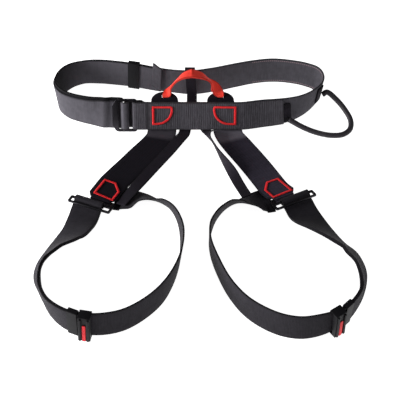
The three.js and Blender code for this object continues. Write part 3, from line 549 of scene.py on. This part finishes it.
def satin_stitch(name, outline, lie, finish):
    """A raised line of thread round an outline on the webbing: a flat bed, and stitches lying across it."""
    area = sum(a.cross(b) for a, b in zip(outline, outline[1:] + outline[:1]))
    points = outline if area > 0 else outline[::-1]
    middle = inwards(points, STITCH_LINE / 2)
    inner = inwards(points, STITCH_LINE)
    mesh = bmesh.new()
    lies = []
    for outside, inside, spot in zip(points, inner, middle):
        across = (inside - outside) / STITCH_LINE
        foot = lie.foot + lie.along * spot.x + lie.across * spot.y
        lies.append(Lie(foot, lie.along, lie.along * across.x + lie.across * across.y, lie.out))
    lies.append(lies[0])
    strip(mesh, lies, STITCH_LINE, STITCH_HIGH, low=-STITCH_LINE / 2, ring=True, strands=2, edge=STITCH_EDGE)
    set_in = Matrix.Translation(lie.foot) @ Matrix((lie.along, lie.across, lie.out)).transposed().to_4x4()
    for here, there in zip(middle, middle[1:] + middle[:1]):
        way = there - here
        count = max(1, round(way.length / STITCH_PITCH))
        turn = Matrix.Rotation(math.atan2(way.y, way.x) + STITCH_SLANT, 4, "Z")
        for step in range(count):
            spot = here + way * ((step + 0.5) / count)
            raised = Matrix.Translation((spot.x, spot.y, STITCH_RAISE))
            place = set_in @ raised @ turn @ Matrix.Diagonal((*STITCH_HALF, 1))
            bmesh.ops.create_uvsphere(mesh, u_segments=STITCH_SIDES, v_segments=STITCH_RINGS, radius=1,
                                      matrix=place)
    return piece(name + "_thread", mesh, finish)


def thread_finish(name, colour):
    """Bright polyester sewing thread with a little lustre."""
    finish, shader, yarn = bare(name, 0.55, sheen=0.05, specular=0.2)
    spot = yarn.node("ShaderNodeTexCoord", {}, {}, "Object")
    fluff = yarn.node("ShaderNodeTexNoise", {}, {"Vector": spot, "Scale": 1500.0, "Detail": 2.0})
    fluff.tint(colour, 0.65, 1.25).feed(shader, "Base Color")
    bump = yarn.node("ShaderNodeBump", {}, {"Strength": 0.4, "Distance": 0.1 * MM, "Height": fluff})
    bump.feed(shader, "Normal")
    return finish


red_thread = thread_finish("red_thread", (0.8, 0.02, 0.026))
for side, row, facing, wide in D_ROWS:
    corners = [(-wide / 2, D_HIGH / 2), (-wide / 2, -D_HIGH / 2)]
    for x, y, radius, start in ((wide / 2 - D_ROUND, D_ROUND - D_HIGH / 2, D_ROUND, -90),
                                (wide / 2 - D_CORNER, D_HIGH / 2 - D_CORNER, D_CORNER, 0)):
        for step in range(D_STEPS + 1):
            angle = math.radians(start + 90 * step / D_STEPS)
            corners.append((x + radius * math.cos(angle), y + radius * math.sin(angle)))
    outline = [Vector((facing * x, y)) * MM for x, y in corners]
    middle = WIDE / 2 + D_RAISE * MM
    stitch_lie = moved(belt(row), out=LAYER + THICK / 2 + STITCH_CLEAR + STITCH_HIGH / 2, across=middle)
    d_stitch = satin_stitch("d_stitch_" + side, outline, stitch_lie, red_thread)
    settle(d_stitch, "d_stitch_" + side)

# Tie-in loops: doubled black webbing behind the belt, bent to a dome above its top edge, with a slot under
# the bend that the belay loop goes through.
DOME = {
    "half": 21, "rise": 14.8, "skirt": 15, "thick": 5, "edge": 1.1,
    "slot_half": 5.1, "slot_low": 4.8, "slot_high": 10.6,
}
DOME_SIDE = (2.5, 5.1, 8.8, 12.6, 16.3, 18.8, 20.4, 21)
DOME_COLUMNS = (*(-column for column in reversed(DOME_SIDE)), 0, *DOME_SIDE)
DOME_ROWS = (("left", 1.6, 0.9), ("right", 4, -0.2))


def dome_plate(mesh, shift):
    """The flat dome: a grid whose lines gather to the foot of the bend at each side, its slot shifted."""
    heights = (-DOME["skirt"], DOME["slot_low"], DOME["slot_high"], DOME["rise"])
    wide, high = len(DOME_COLUMNS) - 1, len(heights) - 1
    weave = mesh.loops.layers.uv.new("weave")
    grid = bmesh.ops.create_grid(mesh, x_segments=wide, y_segments=high, size=0.5)["verts"]
    slot = []
    for face in mesh.faces:
        centre = face.calc_center_median()
        column = int((centre.x + 0.5) * wide)
        inside = abs(DOME_COLUMNS[column] + DOME_COLUMNS[column + 1]) < 2 * DOME["slot_half"]
        if abs(centre.y) < 0.1 and inside:
            slot.append(face)
    for vert in grid:
        column = DOME_COLUMNS[round((vert.co.x + 0.5) * wide)]
        x = column + shift * (1 - eased(abs(column), DOME["slot_half"], DOME["half"]))
        line = round((vert.co.y + 0.5) * high)
        top = DOME["rise"] * math.sqrt(max(0.0, 1 - (x / DOME["half"]) ** 2))
        gathered = eased(abs(x), DOME["slot_half"], DOME["half"])
        share = (heights[line] + DOME["skirt"]) / (DOME["rise"] + DOME["skirt"])
        even = share * (top + DOME["skirt"]) - DOME["skirt"]
        straight = top if line == high else heights[line]
        vert.co = Vector((x, straight * (1 - gathered) + even * gathered, -DOME["thick"] / 2)) * MM
    bmesh.ops.delete(mesh, geom=slot, context="FACES")
    for face in mesh.faces:
        for loop in face.loops:
            loop[weave].uv = (loop.vert.co.y, loop.vert.co.x)
    made = bmesh.ops.extrude_face_region(mesh, geom=mesh.faces[:])["geom"]
    for part in made:
        if isinstance(part, bmesh.types.BMVert):
            part.co.z += DOME["thick"] * MM
    bmesh.ops.recalc_face_normals(mesh, faces=mesh.faces[:])
    sharp = [rim for rim in mesh.edges if rim.calc_face_angle() > SHARP_ANGLE]
    bmesh.ops.bevel(mesh, geom=sharp, offset=DOME["edge"] * MM, offset_type="OFFSET", segments=EDGE_STEPS,
                    profile=0.5, affect="EDGES", clamp_overlap=True, material=-1)


BLACK = (0.0058, 0.0044, 0.0084)
COARSE = {"rib": 2.6 * MM, "uneven": 0.9, "clear": 0.7}
black_weave = woven("black_weave", BLACK, WIDE, **COARSE)
for side, row, shift in DOME_ROWS:
    dome = bmesh.new()
    dome_plate(dome, shift)
    dome_lie = moved(belt(row), out=-(THICK + DOME["thick"] * MM) / 2 - CLEAR, across=WIDE)
    set_down(dome, dome_lie, dome_lie.along, dome_lie.across, dome_lie.out)
    settle(piece(f"tie_in_loop_{side}_dome", dome, black_weave), "tie_in_loop_" + side)

# Belay loop: a ring of bright red webbing, 18 mm wide, sewn end to end. It stands up in an arch, twists down
# through the slot of each tie-in loop and runs behind the belt. The rows follow its middle.
BELAY_WIDE = 18 * MM
# x, y and z, then the lean and compass bearing of its width, and its width where it is gathered
BELAY_ROWS = (
    (-12, 174, 94, 90, 90, 18), (-25, 173.5, 89.5, 106, 92, 18), (-36, 172, 80, 130, 96, 16),
    (-45, 169, 68, 132, 108, 13), (-51, 164, 60, 96, 172, 13), (-53.5, 163.3, 55.5, 90, 180, 10),
    (-53.5, 166.2, 51, 90, 180, 9), (-53.5, 171, 47.6, 90, 180, 9), (-51, 173, 41, 92, 180, 10),
    (-44, 169, 32, 125, 185, 14), (-30, 165, 28, 165, 200, 16), (-11, 164, 27, 180, 270, 16),
    (9, 165, 28, 165, 340, 16), (23, 169, 32, 125, 355, 14), (30.6, 173, 41, 92, 360, 10),
    (31.8, 171, 47.6, 90, 360, 9), (31.8, 166.2, 51, 90, 360, 9), (31.6, 163.3, 55.5, 90, 360, 10),
    (30, 163.6, 60, 92, 364, 15), (24, 169, 68, 106, 388, 17), (15, 172, 80, 130, 440, 16),
    (3, 173.5, 89.5, 106, 448, 18), (-12, 174, 94, 90, 450, 18),
)
red_weave = woven("red_weave", (1.0, 0.06, 0.04), BELAY_WIDE, rib=1.3 * MM, uneven=0.35)
belay = laid(BELAY_ROWS, rests=False)
belay_run = stretch(belay, 0, len(BELAY_ROWS) - 1)
belay_spans = []
for step in range(len(belay_run)):
    row = min(step // PER_ROW, len(BELAY_ROWS) - 2)
    share = step / PER_ROW - row
    wide = (BELAY_ROWS[row][5] * (1 - share) + BELAY_ROWS[row + 1][5] * share) * MM
    belay_spans.append((-wide / 2, wide))
webbing("belay_loop", belay_run, BELAY_WIDE, THICK, red_weave, ring=True,
        rests_on=("tie_in_loop_left", "tie_in_loop_right"), spans=belay_spans)

# Leg loops: 45 mm webbing round each thigh. Each starts flat under its buckle, turns up on its edge to stand
# in a ring on the table, and turns down flat again where the riser is sewn to its end.
LOOP_ROWS = {}
LOOP_ROWS["left"] = (
    (-185.5, -2.5, 4.3, 90), (-190, -14, 2.9, 90), (-194, -30, 1.1, 89), (-198, -46, 0.2, 82),
    (-202, -60, 0, 72), (-209, -75, 0, 60), (-222.5, -101, 0, 41), (-231, -119, 0, 34),
    (-235, -137, 0, 26), (-233.5, -153, 0.2, 18), (-225, -172, 0.5, 3), (-217, -189, 1, -5),
    (-205, -212, 2.2, -6), (-185, -233, 3.2, 0), (-160, -243.5, 3.2, 4), (-133, -244, 2, 5),
    (-104, -235, 0.4, 4), (-76, -215, 0, 2), (-54, -190, 0, 0), (-40, -160, 0, -4), (-31, -125, 0, -7),
    (-28, -90, 0, -6), (-29, -64, 0, 1), (-33, -42, 0, 11), (-41, -21.5, 0, 26), (-51, -10, 0, 35),
    (-64, 0, 0, 45), (-78, 9, 0, 61), (-92, 15, 0, 78), (-105, 21, 0, 88), (-114, 23.5, 0, 90),
    (-123, 25, 0, 90),
)
LOOP_ROWS["right"] = (
    (162, 7.5, 4.3, 90), (167.5, -4, 2.9, 90), (174, -20, 1.1, 88), (182, -38, 0.2, 74), (193, -60, 0, 55),
    (209.5, -86, 0, 40), (224.5, -102, 0, 37), (232.5, -119.5, 0, 36), (236, -137, 0, 30),
    (234.5, -154.5, 0.2, 21), (228, -177, 0.6, 8), (218.5, -197, 1.6, -3), (203.5, -219.5, 2.8, -4),
    (186, -235.5, 3.2, 0), (165, -246, 2.6, 5), (140, -250, 1.2, 6), (113, -245, 0.3, 6), (86, -231, 0, 5),
    (62, -210, 0, 3), (42, -180, 0, 1), (26, -142, 0, 0), (16, -106, 0, -1), (14, -78, 0, 2),
    (18, -54, 0, 10), (24, -38, 0, 17), (34, -22, 0, 25), (46, -10, 0, 38), (58, -1, 0, 57),
    (70, 7.5, 0, 76), (83.5, 15, 0, 86.5), (100, 20, 0, 90),
)
LOOP_START = 0.25
HANDS = {"left": 1, "right": -1}
loops = {side: laid(rows, hand=HANDS[side]) for side, rows in LOOP_ROWS.items()}
loop_weave = woven("loop_weave", (0.02, 0.018, 0.023), WIDE, rib=2 * MM, uneven=0.7)
for side, rows in LOOP_ROWS.items():
    loop_run = stretch(loops[side], LOOP_START, len(rows) - 1)
    webbing("leg_loop_" + side, loop_run, WIDE, THICK, loop_weave)

# Leg tails: the free ends of the leg loops. Each rolls over the buckle's middle bar, dips under its lower bar
# and lies on the outside of the loop, through the keeper and the elastic.
TAIL_ENDS = {"left": 14.25, "right": 13.25}
ROLL_END, ON_LOOP, LEG_TAIL_LIFT, LEG_TAIL_LEAD = 0.2, 0.9, 0.5 * MM, 2.6 * MM


def leg_tail_out(at):
    """How far out the tail lies: the roll's height at the buckle, then a layer outside the loop."""
    return 2 * BAR_WRAP + (LAYER - 2 * BAR_WRAP) * eased(at, ROLL_END, ON_LOOP)


for side, loop in loops.items():
    leg_tail = stretch(loop, 0, TAIL_ENDS[side], out=leg_tail_out, lift=lambda at: LEG_TAIL_LIFT)
    leg_tail = folded(leg_tail[0], BAR_WRAP, 180, before=True, lead=LEG_TAIL_LEAD) + leg_tail
    webbing("leg_tail_" + side, leg_tail, WIDE, THICK, loop_weave,
            rests_on="leg_loop_" + side)

# Leg buckles: steel plates tilted up on the flat start of each leg loop. A long slot takes the roll of the
# tail, and beside it an open hook takes the leg strap's narrowed end.
LEG_COLUMNS = (-12.3, -9.3, -2, 2, 10.3, 13.7)
LEG_LINES = (-30, -26.4, -3, 30.2, 34.4, 38)
LEG_HOLES = ((3, 1), (3, 2), (3, 3), (1, 0), (1, 1), (1, 2), (0, 0), (0, 1))
LEG_TILT, LEG_CORNER, HOOK_BAR = 22, 2.9, -10.8 * MM
buckle_lies = {}
for side, loop in loops.items():
    hand = HANDS[side]
    level = moved(loop(0), out=BAR_WRAP, across=WIDE / 2)
    tilt = Quaternion(level.across, math.radians(-hand * LEG_TILT))
    tilted = level._replace(along=tilt @ level.along, out=tilt @ level.out)
    buckle_lies[side] = tilted
    buckle("leg_buckle_" + side, LEG_COLUMNS, LEG_LINES, LEG_HOLES, LEG_CORNER, tilted, dark_steel, hand)

# Leg straps: black 45 mm webbing from behind the belt down to each leg buckle. It lies flat on the table,
# comes over the buckle's upper bar, and its narrowed end folds under the bar. A row gives x, y and z of the
# lower edge, then the lean and compass bearing of its width.
STRAP_ROWS = {
    "left": (
        (-82, 154.8, 29.2, 90, 0), (-82, 149.7, 18.4, 90, 0), (-82, 145.6, 9.3, 90, 0),
        (-82, 144.2, 4.2, 90, 0), (-82, 141, 1, 90, 0), (-83, 134, 0.2, 90, -4), (-90.5, 122, 0, 90, -20),
        (-104, 105, 0, 90, -33), (-122.5, 80, 0.3, 90, -35), (-139, 57, 2, 90, -32),
        (-150, 40, 4.2, 90, -29), (-159, 22, 6.6, 90, -26.5),
    ),
    "right": (
        (21, 154.8, 29.2, 90, 0), (21, 149.7, 18.4, 90, 0), (21, 145.6, 9.3, 90, 0),
        (21, 144.2, 4.2, 90, 0), (21, 141, 1, 90, 0), (22, 134, 0.2, 90, 3), (27, 120, 0, 90, 14),
        (38, 100, 0, 90, 25), (57.5, 69, 0.3, 90, 30), (72, 43.5, 2, 90, 29), (82, 24, 4.2, 90, 27),
        (91.5, 6, 6.6, 90, 26),
    ),
}
STRAP_SHIFT, STRAP_WRAP, STRAP_TURN = 14 * MM, 3.6 * MM, 110
STRAP_END_LOW, STRAP_END_WIDE, STRAP_TAPER = 7 * MM, 31 * MM, 4
# Painted light: the right strap's weave is a lighter copy of the black for the light from the right, and each
# strap has a painted paler stretch below the belt where its top catches the light.
STRAP_PAINTED_LIGHT = {
    "left": (BLACK, (44 * MM, 54 * MM, (0.048, 0.043, 0.054))),
    "right": ((0.036, 0.031, 0.047), (48 * MM, 60 * MM, (0.17, 0.158, 0.19))),
}
straps = {}
for side, rows in STRAP_ROWS.items():
    shade, painted_fade = STRAP_PAINTED_LIGHT[side]
    strap_lit_weave = woven("strap_lit_weave_" + side, shade, WIDE, painted_fade=painted_fade, **COARSE)
    hand = HANDS[side]
    upper_bar = moved(buckle_lies[side], along=HOOK_BAR, across=STRAP_SHIFT - hand * WIDE / 2)
    flat = loops[side](0)
    level = Vector((flat.along.x, flat.along.y, 0)).normalized()
    over_bar = moved(Lie(upper_bar.foot, level, flat.across * hand, UP), out=STRAP_WRAP)
    foot = (over_bar.foot + HARNESS_MIDDLE) / MM
    bearing = math.degrees(math.atan2(over_bar.across.y, over_bar.across.x))
    end_row = (foot.x, foot.y, foot.z - THICK / MM / 2, 90, bearing)
    straps[side] = laid((*rows, end_row))
    strap_run = stretch(straps[side], 0, len(rows))
    strap_run[-1] = moved(over_bar, along=-2 * CLEAR)
    strap_fold = [over_bar] + folded(over_bar, STRAP_WRAP, STRAP_TURN)
    strap_spans = [(0.0, WIDE)] * (len(strap_run) - STRAP_TAPER)
    for step in range(1, STRAP_TAPER + 1):
        share = step / (STRAP_TAPER + 1)
        strap_spans.append((STRAP_END_LOW * share, WIDE + (STRAP_END_WIDE - WIDE) * share))
    strap_spans += [(STRAP_END_LOW, STRAP_END_WIDE)] * len(strap_fold)
    webbing("leg_strap_" + side, strap_run + strap_fold, WIDE, THICK, strap_lit_weave,
            spans=strap_spans)

# Pentagon bartacks: red satin stitching that sews the leg strap's layers together above each buckle.
PENTAGON = ((-17, -18.5), (3, -19.5), (17, -4.5), (17, 17.5), (-17, 16.5))
PENTAGON_PLACES = {"left": (11, 24), "right": (11.1, 24)}
for side, (row, reach) in PENTAGON_PLACES.items():
    outline = [Vector((along, HANDS[side] * across)) * MM for across, along in PENTAGON]
    patch = moved(straps[side](row), out=THICK / 2 + STITCH_CLEAR + STITCH_HIGH / 2, across=reach * MM)
    pentagon = satin_stitch("pentagon_stitch_" + side, outline, patch, red_thread)
    settle(pentagon, "pentagon_stitch_" + side)

# Leg keepers: moulded black sliders on the fronts of the leg loops, with a raised rail down each side of a
# red stripe. Beside each is a band of black elastic that holds the end of the tail.
LEG_KEEPER = {
    "length": 17, "wall": 0.9, "front": 6.8, "low": -0.6, "high": 46.2, "in": -3.1, "out": 4.9,
    "corner": 0.8, "edge": 0.35,
}
LEG_ELASTIC = {
    "length": 15, "wall": 0.7, "front": 0.7, "low": -0.5, "high": 46.2, "in": -2.6, "out": 4.6,
    "corner": 0.6, "edge": 0.3,
}
KEEPER_ROWS = {"left": (14.1, 13.48), "right": (13, 12.25)}
STRIPE_WIDE, STRIPE_HIGH, STRIPE_THICK, STRIPE_MIDDLE = 5 * MM, 33 * MM, 1 * MM, 16 * MM
STRIPE_CORNER, STRIPE_EDGE = 1.2 * MM, 0.3 * MM
RAIL_WIDE, RAIL_HIGH, RAIL_THICK, RAIL_ASIDE = 3.6 * MM, 45 * MM, 2.6 * MM, 5.6 * MM
RAIL_CORNER, RAIL_EDGE, RAIL_SUNK = 1.7 * MM, 0.8 * MM, 0.2 * MM
red_plastic = moulded("red_plastic", (0.7, 0.025, 0.035), roughness=0.45)
for side, (keeper_row, elastic_row) in KEEPER_ROWS.items():
    hand, keeper_lie = HANDS[side], loops[side](keeper_row)
    slider = bmesh.new()
    keeper_ring(slider, LEG_KEEPER, keeper_lie, hand)
    face = (LEG_KEEPER["out"] + LEG_KEEPER["front"]) * MM
    rail_lie = moved(keeper_lie, out=face + RAIL_THICK / 2 - RAIL_SUNK, across=WIDE / 2)
    for aside in (-RAIL_ASIDE, RAIL_ASIDE):
        rail = bmesh.new()
        columns, lines = [aside - RAIL_WIDE / 2, aside + RAIL_WIDE / 2], [-RAIL_HIGH / 2, RAIL_HIGH / 2]
        pierced(rail, columns, lines, (), RAIL_THICK, RAIL_CORNER, RAIL_EDGE)
        set_down(rail, rail_lie, rail_lie.along * hand, rail_lie.across, rail_lie.out)
        added = bpy.data.meshes.new("rail")
        rail.to_mesh(added)
        rail.free()
        slider.from_mesh(added)
        bpy.data.meshes.remove(added)
    settle(piece(f"leg_keeper_{side}_slider", slider, black_plastic), "leg_keeper_" + side)
    band = bmesh.new()
    keeper_ring(band, LEG_ELASTIC, loops[side](elastic_row), hand)
    settle(piece(f"leg_elastic_{side}_band", band, black_plastic), "leg_elastic_" + side)
    stripe_lie = moved(keeper_lie, out=face + CLEAR + STRIPE_THICK / 2, across=STRIPE_MIDDLE)
    stripe = bmesh.new()
    columns, lines = [-STRIPE_WIDE / 2, STRIPE_WIDE / 2], [-STRIPE_HIGH / 2, STRIPE_HIGH / 2]
    pierced(stripe, columns, lines, (), STRIPE_THICK, STRIPE_CORNER, STRIPE_EDGE)
    set_down(stripe, stripe_lie, stripe_lie.along * hand, stripe_lie.across, stripe_lie.out)
    inlay = piece(f"leg_keeper_stripe_{side}_inlay", stripe, red_plastic)
    settle(inlay, "leg_keeper_stripe_" + side)

# Risers: narrow black webbing that holds the leg loops up at the back. A stem hangs over the back of the
# belt, and two straps are sewn under its end, one to the flat end of each leg loop.
RISER_WIDE, RISER_NARROW, RISER_THICK = 18 * MM, 16 * MM, 2 * MM
RISER_WIDTHS = {"riser_stem": RISER_NARROW, "riser_left": RISER_WIDE, "riser_right": RISER_NARROW}
RISERS = {
    "riser_stem": (
        (-24, 230.7, 19.2, 90, 0), (-24, 233.3, 33, 90, 0), (-24, 235.7, 44, 90, 0),
        (-24, 231.6, 47.4, 90, 0), (-23.6, 227.6, 43.8, 90, 0), (-22.6, 224.4, 26, 90, 0),
        (-21.6, 221, 7.4, 90, 0), (-21, 218.6, 2.6, 90, 0), (-21, 213, 0.4, 90, 0), (-21, 190, 0.4, 90, 0),
        (-21, 174, 2.4, 90, 0), (-21, 156, 2.4, 90, 0),
    ),
    "riser_left": (
        (-30, 172, 0, 90, 0), (-30, 158, 0, 90, 0), (-32, 146, 0, 90, -6), (-33.5, 137, 0, 90, -14),
        (-39.5, 125, 3.2, 90, -26), (-54, 102, 3, 90, -30), (-75, 71, 3.2, 90, -31),
        (-95, 40, 4.6, 90, -31), (-109, 16, 6, 82, -31), (-125, -13, 6.2, 72, -31),
    ),
    "riser_right": (
        (-12, 172, 0, 90, 0), (-10, 158, 0, 90, 0), (-1, 146, 0, 87, 0), (4.3, 136.5, 0, 78, 2),
        (11.6, 128, 0.2, 26, 8), (18, 119.5, 0.2, -10, 13), (22.5, 109.5, 0.2, -15, 20),
        (30.5, 86, 0.4, -2, 27), (39.5, 58, 1, 32, 30), (48, 32, 3.6, 74, 29), (55.5, 11, 9, 90, 27),
        (63, -8, 13, 90, 25),
    ),
}
riser_weave = woven("riser_weave", (0.012, 0.0095, 0.015), RISER_WIDE, rib=1.2 * MM)
for name, rows in RISERS.items():
    riser_run = stretch(laid(rows, thick=RISER_THICK), 0, len(rows) - 1)
    webbing(name, riser_run, RISER_WIDTHS[name], RISER_THICK, riser_weave)

# Gear loop: a stiff loop in a smooth black sleeve, for hanging equipment, held by two short webbing tabs sewn
# across the outside of the belt.
GEAR_FRONT, GEAR_REAR, TAB_HALF = 9, 11.5, 0.25
TAB_HIGH = 33 * MM
GEAR_TABS = (("gear_tab_front", GEAR_FRONT, 3 * MM), ("gear_tab_rear", GEAR_REAR, 8 * MM))
for name, row, low in GEAR_TABS:
    gear_tab = stretch(belt, row - TAB_HALF, row + TAB_HALF, out=lambda at: LAYER)
    webbing(name, gear_tab, TAB_HIGH, THICK, riser_weave, low=low,
            rests_on="waist_belt")

SLEEVE_RADIUS, SLEEVE_SIDES, SLEEVE_STEPS = 4.3 * MM, 20, 120
SLEEVE_REAR_HIGH, SLEEVE_FRONT_HIGH = 28 * MM, 9 * MM
GEAR_POINTS = (
    (200, 196, 31), (214, 188, 24), (228, 172, 16), (236.5, 155, 9), (234.5, 140, 5.6), (223, 130, 4.4),
    (204, 128, 4.4), (183, 133.5, 4.4), (163, 142, 6.5),
)


def sleeve(mesh, points, radius, steps):
    """A round sleeve drawn along a curve, closed at both ends."""
    last = len(points) - 1
    ring = bmesh.ops.create_circle(mesh, cap_ends=True, segments=SLEEVE_SIDES, radius=radius)["verts"]
    place, way = through(points, 0)
    turn = UP.rotation_difference(way)
    bmesh.ops.transform(mesh, matrix=Matrix.Translation(place) @ turn.to_matrix().to_4x4(), verts=ring)
    rims = list({rim for vert in ring for rim in vert.link_edges})
    for step in range(1, steps + 1):
        made = bmesh.ops.extrude_edge_only(mesh, edges=rims)["geom"]
        ring = [part for part in made if isinstance(part, bmesh.types.BMVert)]
        rims = [part for part in made if isinstance(part, bmesh.types.BMEdge)]
        spot, heading = through(points, last * step / steps)
        turn = way.rotation_difference(heading).to_matrix().to_4x4()
        shift = Matrix.Translation(spot) @ turn @ Matrix.Translation(-place)
        bmesh.ops.transform(mesh, matrix=shift, verts=ring)
        place, way = spot, heading
    bmesh.ops.contextual_create(mesh, geom=rims)
    bmesh.ops.recalc_face_normals(mesh, faces=mesh.faces[:])


gear_out = LAYER + THICK / 2 + SLEEVE_RADIUS + CLEAR
gear_points = [Vector(point) * MM - HARNESS_MIDDLE for point in GEAR_POINTS]
gear_points.insert(0, moved(belt(GEAR_REAR), out=gear_out, across=SLEEVE_REAR_HIGH).foot)
gear_points.append(moved(belt(GEAR_FRONT), out=gear_out, across=SLEEVE_FRONT_HIGH).foot)
gear = bmesh.new()
sleeve(gear, gear_points, SLEEVE_RADIUS, SLEEVE_STEPS)
black_sleeve = moulded("black_sleeve", (0.03, 0.027, 0.032), grain_size=900.0, roughness=0.45)
settle(piece("gear_loop_sleeve", gear, black_sleeve), "gear_loop")

# The table: a pale floor in soft studio light, with large lights at the left, the right and above, and the
# camera at the photograph's angle.
FLOOR_HALF = 6
floor_mesh = bmesh.new()
bmesh.ops.create_grid(floor_mesh, x_segments=1, y_segments=1, size=FLOOR_HALF)
white, white_shader, _ = bare("white_table", 0.9)
white_shader.inputs["Base Color"].default_value = (0.92, 0.92, 0.92, 1)
white_shader.inputs["Emission Color"].default_value = (1, 1, 1, 1)
white_shader.inputs["Emission Strength"].default_value = 0.95
floor = piece("table", floor_mesh, white, smooth=False)

LIGHTS = (
    ("left_light", (-1.8, -0.3, 0.5), 0.9, 60),
    ("right_light", (1.7, -0.4, 1.1), 1.2, 8),
    ("top_light", (0.0, 0.5, 2.2), 1.6, 2),
)
for name, place, size, power in LIGHTS:
    data = bpy.data.lights.new(name, "AREA")
    data.shape = "SQUARE"
    data.size = size
    data.energy = power
    light = bpy.data.objects.new(name, data)
    light.location = place
    light.rotation_euler = (-Vector(place)).to_track_quat("-Z", "Y").to_euler()
    bpy.context.scene.collection.objects.link(light)

room = bpy.data.worlds.new("white_room")
room.use_nodes = True
room.node_tree.nodes["Background"].inputs["Color"].default_value = (1, 1, 1, 1)
room.node_tree.nodes["Background"].inputs["Strength"].default_value = 0.1
bpy.context.scene.world = room
bpy.context.scene.view_settings.view_transform = "Standard"

CAMERA_RISE, CAMERA_AWAY, CAMERA_LENS, CAMERA_SENSOR = math.radians(50), 2.0, 120, 36
lens = bpy.data.cameras.new("camera")
lens.lens = CAMERA_LENS
lens.sensor_width = CAMERA_SENSOR
camera = bpy.data.objects.new("camera", lens)
back = Vector((0, -math.cos(CAMERA_RISE), math.sin(CAMERA_RISE)))
camera.location = -HARNESS_MIDDLE + back * CAMERA_AWAY
camera.rotation_euler = (-back).to_track_quat("-Z", "Y").to_euler()
bpy.context.scene.collection.objects.link(camera)
bpy.context.scene.camera = camera
